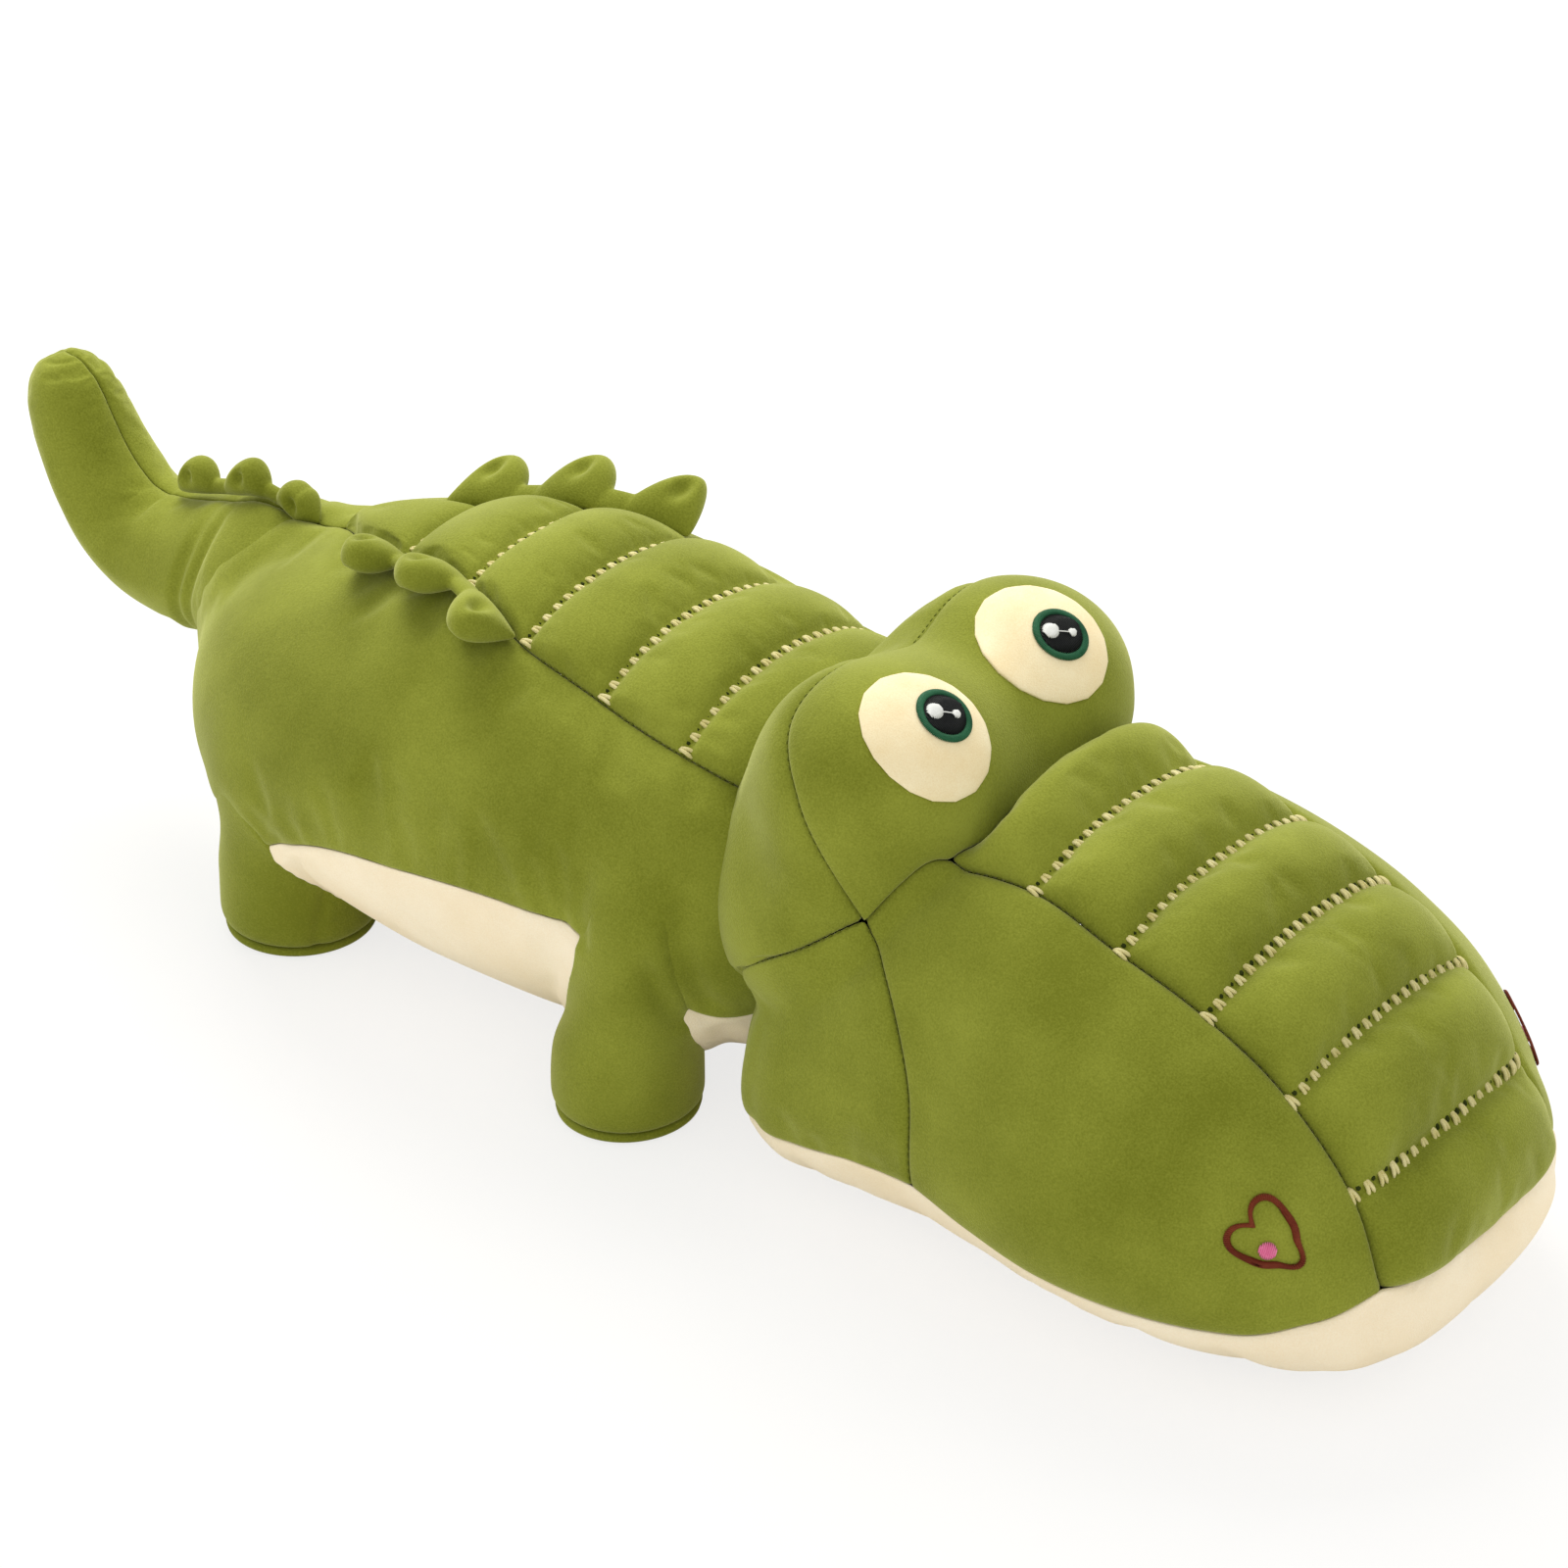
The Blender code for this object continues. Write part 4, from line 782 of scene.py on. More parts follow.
def leg_ring(sections, foot, level, around):
    """Points round a leg at one level."""
    forward, outward, long, wide = [curve_through(sections, c, level / leg_height) for c in (1, 2, 3, 4)]
    x = foot[0] + forward * leg_half_length + long * leg_half_length * np.cos(around)
    y = foot[1] + outward * leg_half_width + wide * leg_half_width * np.sin(around)
    return np.stack([x, y, np.full(len(around), level)], axis=-1)


def tail_distance(points):
    """Rough signed distance to the tail."""
    rings, _ = tail_rings(tail_rough_sides)
    rings = rings[len(tail_ball_degrees)::tail_rough_step]
    centres = np.vstack([tail_pivot[None], rings[:, :-1].mean(axis=1)])
    radii = np.linalg.norm(rings[:, 0] - rings[:, :-1].mean(axis=1), axis=-1)
    radii = np.concatenate([[tail_ball_radius], radii])
    found = np.full(points.shape[:-1], 1.0)
    for centre, radius in zip(centres, radii):
        found = np.minimum(found, np.linalg.norm(points - centre, axis=-1) - radius)
    return found


def leg_distance(points, sections, foot):
    """Rough signed distance to the leg of either side."""
    share = np.clip(points[..., 2] / leg_height, 0, 1)
    forward, outward, long, wide = [curve_through(sections, c, share) for c in (1, 2, 3, 4)]
    half_length = long * leg_half_length
    half_width = wide * leg_half_width
    x = (points[..., 0] - foot[0] - forward * leg_half_length) / half_length
    y = (np.abs(points[..., 1]) - foot[1] - outward * leg_half_width) / half_width
    inside = (np.sqrt(x * x + y * y + nearly_nought) - 1) * np.minimum(half_length, half_width)
    return inside + np.maximum(points[..., 2] - leg_height, 0)


# Each leg's sections, its foot's place and the fillet to the torso
leg_kinds = {
    "front": (front_leg_section_shares, (front_leg_x, front_leg_y), front_leg_fillet),
    "rear": (rear_leg_section_shares, (rear_leg_x, rear_leg_y), rear_leg_fillet),
}


def torso_skin(rows, angle):
    """Torso skin that flows out into the tail and the legs, and its normals."""
    points, normals = torso_surface(np.repeat(rows[:, None], angle.shape[1], axis=1), angle)
    points = flowed(points, normals, tail_distance, tail_fillet)
    for sections, foot, fillet in leg_kinds.values():
        points = flowed(points, normals, lambda place: leg_distance(place, sections, foot), fillet)
    return points, normals


# Wrinkles seen from the side: one end, the other end, depth and half width
torso_wrinkles = [
    ((0.0060, 0.112), (0.0150, 0.088), 0.0018, 0.0042),
    ((0.0170, 0.120), (0.0225, 0.086), 0.0022, 0.0042),
    ((0.0280, 0.122), (0.0325, 0.082), 0.0024, 0.0045),
    ((0.0690, 0.120), (0.0755, 0.060), 0.0040, 0.0042),
    ((0.0600, 0.092), (0.0700, 0.050), 0.0030, 0.0040),
    ((-0.1180, 0.062), (-0.1250, 0.004), 0.0014, 0.0012),
]
tail_folds = [
    ((-0.2205, 0.1520), (-0.2305, 0.0860), 0.0036, 0.0025),
    ((-0.2285, 0.1510), (-0.2370, 0.0880), 0.0030, 0.0024),
]
wrinkle_start_share = 0.35
wrinkle_end_share = 0.15


def wrinkled(points, normals, wrinkles):
    """Points sunk along narrow grooves, as seen from the side, that fade at their ends."""
    sink = np.zeros(points.shape[:-1])
    flat = points[..., [0, 2]]
    for first, last, depth, width in wrinkles:
        first = np.array(first)
        way = np.array(last) - first
        t = np.sum((flat - first) * way, axis=-1) / np.sum(way * way)
        off = np.linalg.norm(flat - first - np.clip(t, 0, 1)[..., None] * way, axis=-1)
        fade = smooth_step(t / wrinkle_start_share) * smooth_step((1 - t) / wrinkle_end_share + 0.5)
        sink = sink + depth * fade * np.exp(-(off / width) ** 2)
    return points - normals * sink[..., None]


def settled(made):
    """Keep what a piece's modifiers make of it as its own mesh."""
    solved = made.evaluated_get(bpy.context.evaluated_depsgraph_get())
    mesh = bpy.data.meshes.new_from_object(solved)
    made.modifiers.clear()
    made.data = mesh
    return made


def bent(made, body, start, end):
    """Keep what a piece's modifiers make of it, with its place baked into its mesh. Body, start on the
    torso's side and end on the limb's are not used.
    """
    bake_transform(settled(made))


# The torso's panels: columns, and rows as shares of its length, closer together at the rear
belly_seam_depth = 0.0009
back_columns = 61
side_columns = 52
belly_columns = 60
long_rows = count_for(0.27)
side_row_shares = np.concatenate([np.linspace(0.06, 0.36, 14) ** 2, np.linspace(0.135, 1.0, long_rows)])
belly_row_shares = np.concatenate([np.linspace(0.072, 0.13, 9)[:-1], np.linspace(0.13, 1.0, long_rows)])


def between(low, high, count):
    """Angles from a low to a high one, in a row for each of them."""
    return low[:, None] + (high - low)[:, None] * np.linspace(0, 1, count)[None, :]


def build_torso():
    """Back, side and belly panels; gives back the stitched rows of the back."""
    lines = [back_panel_start_share, *back_stitch_shares, 1.0]
    rows = []
    stitched = []
    for a, b in zip(lines, lines[1:]):
        if rows:
            stitched.append(len(rows))
        steps = count_for((b - a) * torso_length)
        rows += [a + (b - a) * k / steps for k in range(steps)]
    rows = np.array(rows + [1.0])
    share, edge = np.meshgrid(rows, np.linspace(-1, 1, back_columns), indexing="ij")
    points, normals = torso_skin(rows, edge * back_seam(rows)[:, None])
    rise = quilt_height * quilt_rise(share, lines, edge)
    outer = padded_panel("back_panel", points, normals, ("torso_stuffing",), lift=rise,
                         stitched_rows=stitched)

    angle = between(back_seam(side_row_shares), belly_seam(side_row_shares), side_columns)
    side_points, side_normals = torso_skin(side_row_shares, angle)
    side_points = wrinkled(side_points, side_normals, torso_wrinkles)
    depth = {"start": seam_depth, "end": belly_seam_depth}
    padded_panel("side_panel_left", side_points, side_normals, depth=depth)
    padded_panel("side_panel_right", mirrored(side_points), mirrored(side_normals), depth=depth)

    low = belly_seam(belly_row_shares)
    angle = between(low, 2 * math.pi - low, belly_columns)
    belly_points, belly_normals = torso_skin(belly_row_shares, angle)
    belly_points = wrinkled(belly_points, belly_normals, torso_wrinkles)
    padded_panel("belly_panel", belly_points, belly_normals, cloth="cream_velour", depth=belly_seam_depth)
    return [(outer[i], normals[i]) for i in stitched]


def sagging(shape):
    """Share by which each point of a grid hangs below its edges: nothing at the edges."""
    across = np.linspace(-1, 1, shape[0])[:, None, None]
    along = np.linspace(-1, 1, shape[1])[None, :, None]
    return (1 - across ** 2) * (1 - along ** 2)


# Depth of the head's seams, and how far the first snout pad and the back of the head bulge
face_depth = 0.0014
cheek_depth = 0.0012
crown_depth = 0.0020
chin_depth = 0.0009
snout_depth = 0.0030
rear_bulge = 0.0050
rear_bulge_power = 0.6
head_back_bulge = 0.0432
head_depths = {
    "face_panel": face_depth,
    "cheek_right": {"first": cheek_depth, "last": chin_depth, "start": cheek_depth, "end": cheek_depth},
    "snout_side_right": {"first": snout_depth, "last": chin_depth, "start": cheek_depth},
    "head_back_panel": crown_depth,
    "chin_panel": chin_depth,
}
# Numbers of points along the head's seams
side_points = 40
crease_side_points = 17
crease_top_points = 24
corner_points = 44
snout_points = 90
snout_end_points = 22
cheek_points = 40
chin_points = 80
chin_end_points = 32
long_patch_fade = 5


def snout_pads(points, targets):
    """Height of the snout's quilted pads, and the rows of the grid, once turned, that are stitched."""
    lines = jaw_rear_x + jaw_length * np.array([crease_top_shares[0][0], *snout_stitch_shares, 1.0])
    edge = np.linspace(-1, 1, targets.shape[0])[:, None]
    steep = np.minimum(points[..., 0], snout_front_x - tiny_step)
    behind = (steep - steep[:, :1]) / (lines[1] - steep[:, :1])
    steep = np.where(behind < 1, lines[0] + (lines[1] - lines[0]) * behind, steep)
    rise = snout_quilt_height * quilt_rise(steep, lines, np.broadcast_to(edge, steep.shape))
    rear_t = np.clip((steep - lines[0]) / (lines[1] - lines[0]), 0, 1)
    rise = rise + rear_bulge * np.sin(math.pi * rear_t ** rear_bulge_power) * (1 - edge ** 4)
    middle = points[points.shape[0] // 2, :, 0]
    return rise, [int(np.argmin(np.abs(middle - line))) for line in lines[1:-1]]


def head_patches():
    """Rough grid of each of the head's panels, and which of its edges are seams."""
    all_edges = ("first", "last", "start", "end")
    side = seam_curve(side_seam_shares, side_points)
    crease_side = seam_curve(crease_side_shares, crease_side_points)
    crease_top = seam_curve(crease_top_shares, crease_top_points)
    crease_rear = seam_curve(crease_rear_shares, crease_side_points)
    crease = across_and_back(joined(crease_side, crease_top))
    corner = np.repeat(crease[:1], corner_points, axis=0)
    patches = {}
    patches["face_panel"] = (patch_between(across_and_back(side), crease, corner, mirrored(corner)),
                             ("first", "last"))

    seam = seam_curve(snout_seam_shares, snout_points)
    front = across_and_back(seam_curve(jaw_seam_tip_shares, snout_end_points))
    rear = across_and_back(seam_curve(crease_top_shares, snout_end_points))
    top = patch_between(seam, mirrored(seam), rear, front, long_patch_fade)
    patches["snout_top_panel"] = (top, all_edges)

    upper = joined(crease_side, seam)
    lower = seam_curve(jaw_seam_front_shares, len(upper))
    cheek_seam = seam_curve(cheek_seam_shares, cheek_points)
    tip = np.repeat(seam[-1:], cheek_points, axis=0)
    patches["snout_side_right"] = (patch_between(upper, lower, cheek_seam, tip), ("first", "last", "start"))

    jaw_rear = seam_curve(jaw_seam_rear_shares, cheek_points)
    neck_side = seam_curve(neck_side_shares, cheek_points)
    crease_long = seam_curve(crease_rear_shares, cheek_points)
    patches["cheek_right"] = (patch_between(crease_long, jaw_rear, neck_side, cheek_seam), all_edges)

    neck_shares = [jaw_seam_rear_shares[0], neck_middle_share]
    chin_edge = joined(jaw_rear, seam_curve(jaw_seam_front_shares, chin_points))
    neck = across_and_back(seam_curve(neck_shares, chin_end_points))
    front = across_and_back(seam_curve(jaw_seam_tip_shares, chin_end_points))
    chin = patch_between(chin_edge, mirrored(chin_edge), neck, front, long_patch_fade)
    chin = chin - sagging(chin.shape) * np.array([0.0, 0.0, jaw_half_width])
    patches["chin_panel"] = (chin, ("first", "last", "end"))

    back_edge = across_and_back(joined(crease_rear, side))
    neck_bottom = across_and_back(seam_curve(neck_shares, (len(back_edge) + 1) // 2))
    back = patch_between(back_edge, neck_bottom, neck_side, mirrored(neck_side))
    t = np.linspace(0, 1, cheek_points)[:, None]
    u = np.linspace(-1, 1, back.shape[1])[None, :]
    back[..., 0] -= np.sin(math.pi * t) * (1 - u ** 4) * head_back_bulge
    patches["head_back_panel"] = (back, all_edges)
    return patches


def build_head():
    """The head's panels; gives back the stitched rows of the snout."""
    stitch_rows = []
    for name, (targets, edges) in head_patches().items():
        points, normals = head_surface(targets)
        if name == "snout_top_panel":
            rise, stitched = snout_pads(points, targets)
            points, normals, rise = [grid.swapaxes(0, 1) for grid in (points, normals, rise)]
            outer = padded_panel(name, points, normals, ("head_stuffing",), edges, rise, stitched, "head")
            stitch_rows = [(outer[i], normals[i]) for i in stitched]
            continue
        cloth = "cream_velour" if name == "chin_panel" else "green_velour"
        padded_panel(name, points, normals, (), edges, 0.0, (), "head", cloth, head_depths[name])
        if name.endswith("_right"):
            twin = name.replace("_right", "_left")
            padded_panel(twin, mirrored(points), mirrored(normals), (), edges, 0.0, (), "head", cloth,
                         head_depths[name])
    return stitch_rows


# Where a bend at the tail's root would start and end, from its pivot; bent does not use them
tail_bend_start = np.array([0.004, 0.0, 0.0])
tail_bend_end = np.array([-0.050, 0.0, 0.0])
tail_lift = -0.0012
tail_seam_depth = 0.0016
tail_swell_cap = 0.0008


def build_tail():
    """Two side panels that meet along the top and the bottom."""
    rings, normals = tail_rings(tail_sides)
    along = np.linspace(0, 1, len(rings))[:, None]
    slim = tail_slim * np.clip(normals @ tail_slim_way, 0, 1) * np.clip(4 * (1 - along) ** 2, 0, 1)
    rings = rings - normals * slim[..., None]
    joined_rings = flowed(rings, normals, torso_distance, tail_fillet)
    past = tail_pivot[0] - rings[..., 0] - tail_flow_reach
    rings = rings + (joined_rings - rings) * (1 - smooth_step(past / tail_flow_fade))[..., None]
    rings = wrinkled(rings, normals, tail_folds)
    half = tail_sides // 2
    for side, part, also in (("left", slice(0, half + 1), ("tail_stuffing",)),
                             ("right", slice(half, tail_sides + 1), ())):
        padded_panel("tail_panel_" + side, rings[:, part], normals[:, part], also, lift=tail_lift,
                     body="tail", depth=tail_seam_depth, swell=tail_swell_cap,
                     bend=(tail_pivot + tail_bend_start, tail_pivot + tail_bend_end))


# Where a bend at a leg's top would start and end above its foot, which bent does not use, and the seam above
# its sole
leg_bend_start = np.array([0.0, 0.0, 0.095])
leg_bend_end = np.array([0.0, 0.0, 0.030])
sole_seam_reach = 0.0050
sole_seam_depth = 0.0020
leg_sides = 96
leg_levels = np.concatenate([np.linspace(0.0045, 0.018, 10)[:-1], np.linspace(0.018, leg_height, 46)])
# Rings of a sole's pad from under its middle round its rim: share of the foot's outline, and level
sole_outline_level = 0.004
sole_rings = [(0.02, 0.0006), (0.5, 0.0003), (0.9, 0.0004), (0.985, 0.0016), (1.0, 0.0032), (0.95, 0.0046),
              (0.5, 0.0050), (0.02, 0.0050)]


def build_leg(place, side):
    """Sleeve and sole of one leg, with the piped seam between them."""
    name = "leg_" + place + "_" + side
    sections, foot, fillet = leg_kinds[place]
    flip = np.array([1.0, 1.0 if side == "left" else -1.0, 1.0])
    around = turns(leg_sides)
    rings = np.array([leg_ring(sections, foot, level, around) for level in leg_levels])
    across = np.roll(rings, -1, axis=1) - np.roll(rings, 1, axis=1)
    out = unit(np.cross(across, np.gradient(rings, axis=0)))
    out = out * (1.0 if np.sum(out * (rings - rings.mean(axis=1, keepdims=True))) > 0 else -1.0)
    joined_rings = flowed(rings, out, torso_distance, fillet)
    flow = smooth_step((leg_levels - leg_flow_low) / leg_flow_fade)
    rings = wrinkled(rings + (joined_rings - rings) * flow[:, None, None], out, torso_wrinkles)
    seam = rolled_in(leg_levels - leg_levels[0], sole_seam_reach, sole_seam_depth)
    rings = (rings - out * seam[:, None, None]) * flip
    cover = shell(name + "_sleeve", rings, rings - out * flip * cloth_thickness, green, around=True)
    refined(cover)
    hip = np.array([foot[0], foot[1] * flip[1], 0.0])
    bent(cover, name, hip + leg_bend_start, hip + leg_bend_end)
    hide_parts(name + "_cover", name + "_stuffing")

    rings = []
    for share, level in sole_rings:
        ring = leg_ring(sections, foot, sole_outline_level, around)
        middle = ring.mean(axis=0)
        ring = middle + (ring - middle) * share
        ring[:, 2] = level
        rings.append(ring * flip)
    sole = ring_solid(name + "_sole_pad", np.array(rings), green)
    entered(sole, name, (name + "_sole",))


# Stations and sides of a ridge, how soon its ends close, and where the tail's tops end along its rings
ridge_stations = 90
ridge_sides = 32
ridge_closing_stations = 8
ridge_end_share = 0.02
tail_tops_share = 0.57
# Dimple in the face of each lobe: half width along the ridge, height, spread and depth
dimple_width_share = 0.09
dimple_height_share = 0.20
dimple_spread_share = 0.40
dimple_depth_share = 0.60


def build_ridges():
    """Two lobed strips in the back seams and one along the tail root."""
    t = np.linspace(0, 1, ridge_stations)
    share = np.linspace(back_ridge_start_share, back_ridge_end_share, ridge_stations)
    base, normal = torso_surface(share, back_seam(share))
    angle = math.radians(back_ridge_lean_degrees)
    lean = np.tile([0.0, math.sin(angle), math.cos(angle)], (ridge_stations, 1))
    lobed_strip("dorsal_ridge_left", base, lean, ridge_lobe_height, "torso")
    lobed_strip("dorsal_ridge_right", mirrored(base), mirrored(lean), ridge_lobe_height, "torso")
    x = tail_ridge_start_x - tail_ridge_length * t
    rings, _ = tail_rings(tail_sides)
    tops = rings[4:6 + int(tail_tops_share * tail_stations), 0]
    order = np.argsort(tops[:, 0])
    on_tail = np.interp(x, tops[order, 0], tops[order, 2])
    torso_share = np.maximum((x - torso_rear_x) / torso_length, 0.0)
    z = np.maximum(on_tail, torso_point(torso_share, np.zeros_like(x))[:, 2])
    base = np.stack([x, np.zeros_like(x), z], axis=-1)
    upright = np.tile([0.0, 0.0, 1.0], (ridge_stations, 1))
    lobed_strip("tail_ridge", base, upright, tail_ridge_height, "tail")


def lobed_strip(name, base, lean, lobe_height, body):
    """A stuffed strip of three rounded ears with pinched waists between them."""
    trim = int(len(base) * ridge_trim_share)
    t = np.linspace(0, 1, len(base))[trim:-trim]
    base = base[trim:-trim]
    lean = lean[trim:-trim]
    wave = np.abs(np.sin(math.pi * ridge_lobes * t))
    lobe = np.clip((wave - ridge_gap_share) / (1 - ridge_gap_share), 0, 1) ** ridge_round_share
    place = np.arange(len(base))
    closing = np.minimum(place, len(base) - 1 - place) / ridge_closing_stations
    closing = np.sqrt(1 - (1 - np.clip(closing, ridge_end_share, 1)) ** 2)
    height = lobe_height * (ridge_waist_share + (1 - ridge_waist_share) * lobe) * closing
    thick = (ridge_waist_thickness + (ridge_lobe_thickness - ridge_waist_thickness) * lobe) * closing
    around = turns(ridge_sides)[None]
    across = unit(np.cross(np.gradient(base, axis=0), lean))
    middle = base + lean * height[:, None] / 2
    from_crest = np.abs((t * ridge_lobes) % 1 - 0.5)
    along_dimple = np.exp(-(from_crest / dimple_width_share) ** 2)[:, None]
    up_dimple = np.exp(-((np.cos(around) - dimple_height_share) / dimple_spread_share) ** 2)
    full = ridge_foot_share + ridge_swell_share * (1 + np.cos(around)) / 2
    full = full * (1 - dimple_depth_share * along_dimple * up_dimple)
    rings = (middle[:, None] + across[:, None] * (thick[:, None] / 2 * np.sin(around) * full)[..., None]
             + lean[:, None] * (height[:, None] / 2 * np.cos(around))[..., None])
    made = ring_solid(name + "_padded", rings, green)
    refined(made)
    entered(made, body, (name,))


thread_end_share = 0.55
off_every_axis = np.array([0.31, 0.22, 0.92])


class Threads:
    """Many short threads, or dark strands of painted shade, gathered into one mesh."""

    def __init__(self):
        self.vertices = []
        self.faces = []

    def add(self, path, radius, sides=5):
        """One thread along a path of points, closed at both ends."""
        path = np.asarray(path, dtype=float)
        ahead = unit(np.gradient(path, axis=0))
        side = unit(np.cross(ahead, off_every_axis))
        other = np.cross(ahead, side)
        around = turns(sides)
        start = len(self.vertices)
        count = len(path)
        taper = np.ones(count)
        taper[0] = taper[-1] = thread_end_share
        for centre, a, b, scale in zip(path, side, other, taper):
            for turn in around:
                self.vertices.append(centre + scale * radius * (a * math.cos(turn) + b * math.sin(turn)))
        self.faces += grid_faces(count, sides, start, True)
        for end in (0, count - 1):
            self.faces.append([start + end * sides + j for j in range(sides)])

    def build(self, name, surface, body, stands_for=()):
        made = new_object(name, np.array(self.vertices), self.faces, surfaces[surface])
        entered(made, body, stands_for)


# Quilting stitches: short pairs of cream strands, with dark strands of painted shade for the needle holes
# behind the gaps
stitch_pitch = 0.0064
stitch_width = 0.0066
stitch_radius = 0.00080
stitch_slant = 0.15
strand_shift = 0.00072
shade_strand_shift = 0.0016
shade_strand_half_length = 0.0011
shade_strand_radius = 0.00105
stitch_sides = 6
stitch_lift = 0.0021
stitch_droop = 0.0013
shade_strand_lift = 0.0011
shade_strand_droop = 0.0006
quilting_trim_share = 0.02


def resampled(points, values, pitch):
    """Points and values at an even pitch along a run of points."""
    steps = np.linalg.norm(np.diff(points, axis=0), axis=1)
    passed = np.concatenate([[0.0], np.cumsum(steps)])
    at = np.linspace(0, passed[-1], max(2, int(round(passed[-1] / pitch)) + 1))
    place = np.stack([np.interp(at, passed, points[:, c]) for c in range(3)], axis=-1)
    value = np.stack([np.interp(at, passed, values[:, c]) for c in range(3)], axis=-1)
    return place, unit(value)


def quilting(name, rows, body):
    """Slanted stitches along each row, and a dark strand of painted shade at each needle hole."""
    threads = Threads()
    shade_strands = Threads()
    t = np.linspace(-1, 1, 7)[:, None]
    shade_strand_t = np.linspace(-1, 1, 5)[:, None]
    for points, normals in rows:
        trim = int(len(points) * quilting_trim_share)
        kept = slice(trim, len(points) - trim)
        place, out = resampled(points[kept], normals[kept], stitch_pitch)
        ahead = unit(np.gradient(place, axis=0))
        across = unit(np.cross(out, ahead))
        across = across * (1.0 if across[0, 0] > 0 else -1.0)
        for p, a, s, n in zip(place, ahead, across, out):
            for strand in (-1.0, 1.0):
                way = unit(s + stitch_slant * strand * a)
                path = p + a * strand * strand_shift + way * t * stitch_width / 2
                threads.add(path + n * (stitch_lift - stitch_droop * t ** 2), stitch_radius, stitch_sides)
            # A dark strand of painted shade where the needle hole falls
            shade_strand = p + a * stitch_pitch / 2 - s * shade_strand_shift + n * (shade_strand_lift - shade_strand_droop * shade_strand_t ** 2)
            shade_strands.add(shade_strand + s * shade_strand_t * shade_strand_half_length, shade_strand_radius, stitch_sides)
    threads.build(name, "cream_thread", body)
    shade_strands.build(name + "_holes", "needle_hole_shade", body)


# Dark dashes that show as dots along the seams: painted shade of the stitch holes
dash_pitch = 0.0036
dash_length = 0.0020
dash_radius = 0.00034
dash_lift = 0.0003
dash_seam_points = 200
back_dash_start_share = back_ridge_end_share + 0.015
back_dash_end_share = 0.98


def seam_dashes(threads, points, normals, depth):
    """Short dark dashes along the bottom of a seam, painted shade of its stitch holes."""
    place, out = resampled(points - normals * (depth - dash_lift), normals, dash_pitch)
    ahead = unit(np.gradient(place, axis=0))
    for p, a in zip(place[1:-1], ahead[1:-1]):
        threads.add(p + a * np.linspace(-1, 1, 3)[:, None] * dash_length / 2, dash_radius)


def build_seam_dashes():
    """Dark dashes of painted stitch hole shade along the head's seams and the seams between back and side
    panels.
    """
    head = Threads()
    for shares, depth in ((side_seam_shares, face_depth), (cheek_seam_shares, cheek_depth),
                          (crease_rear_shares, cheek_depth), (snout_seam_shares, seam_depth)):
        points, normals = head_surface(seam_curve(shares, dash_seam_points))
        seam_dashes(head, points, normals, depth)
        seam_dashes(head, mirrored(points), mirrored(normals), depth)
    head.build("head_seam_hole_shade", "seam_hole_shade", "head")
    share = np.linspace(back_dash_start_share, back_dash_end_share, dash_seam_points)
    points, normals = torso_surface(share, back_seam(share))
    back = Threads()
    seam_dashes(back, points, normals, seam_depth)
    seam_dashes(back, mirrored(points), mirrored(normals), seam_depth)
    back.build("back_seam_hole_shade", "seam_hole_shade", "torso")


torso_stitch_rows = build_torso()
head_stitch_rows = build_head()
build_tail()
for side in ("left", "right"):
    build_leg("front", side)
    build_leg("rear", side)
build_ridges()
build_seam_dashes()
quilting("back_quilting", torso_stitch_rows, "torso")
quilting("snout_quilting", head_stitch_rows, "head")


# Middles of the face trim, as shares like those of the seams; the hand sewn eyes aren't quite a pair
eye_patch_place_shares = {"right": (0.243, -0.490, 1.186), "left": (0.225, 0.290, 1.173)}
iris_place_shares = {"right": (0.241, -0.413, 1.189), "left": (0.236, 0.331, 1.184)}
nostril_place_share = (0.855, -0.868, 0.466)
nostril_dot_place_share = (0.858, -0.873, 0.437)
nostril_tilt_degrees = 68
disc_reach = 0.035
# Eye patches: corners of the cut felt, points along each of its edges, lift, thickness and rounding
patch_corners = 17
patch_edge_shares = (0.0, 0.25, 0.5, 0.75)
patch_lift = 0.0008
patch_thickness = 0.0009
disc_rings = 8
disc_middle_share = 0.03
disc_edge_power = 6
disc_sink = 0.0008
# Embroidery: lifts, thread radii, pitches and the places of the glints and of the thread between them
eye_seat = 0.0020
glint_seat = 0.0029
link_seat = 0.0032
heart_seat = 0.0004
dot_seat = 0.0006
iris_overlap = 0.0003
iris_thread_radius = 0.00038
heart_thread_radius = 0.00042
link_radius = 0.00022
thread_pitch = 0.0007
glint_pitch = 0.0006
thread_radius_share = 0.62
satin_rise = 0.0006
fill_rise = 0.0005
large_glint_place = np.array([-0.0036, 0.0028])
small_glint_place = np.array([0.0030, -0.0022])
link_start = np.array([-0.0026, 0.0018])
iris_points = 110
heart_points = 130
# Heart outline: reach of its body, and what is added: height, angle from the top and spread
heart_body_share = 0.68
heart_bump_shares = [(0.30, 0.75, 0.55), (0.34, math.pi, 0.36), (-0.20, 0.0, 0.26)]


class Spot:
    """A flat drawing place on the face whose points are laid on the skin."""

    def __init__(self, place, width_way):
        self.centre, normal = [found[0] for found in head_surface(place[None])]
        self.out = normal
        self.right = unit(width_way - normal * np.dot(width_way, normal))
        up = np.cross(normal, self.right)
        self.up = up * (1.0 if up[2] > 0 else -1.0)

    def lay(self, flat, lift):
        """Points on the skin, raised by lift, from flat places right and up of the centre."""
        flat = np.asarray(flat, dtype=float)
        points = self.centre + flat[..., :1] * self.right + flat[..., 1:2] * self.up
        origin = np.broadcast_to(self.centre - self.out * disc_reach, points.shape)
        found, normal = head_skin(origin, unit(points - origin))
        return found + normal * np.asarray(lift)[..., None]


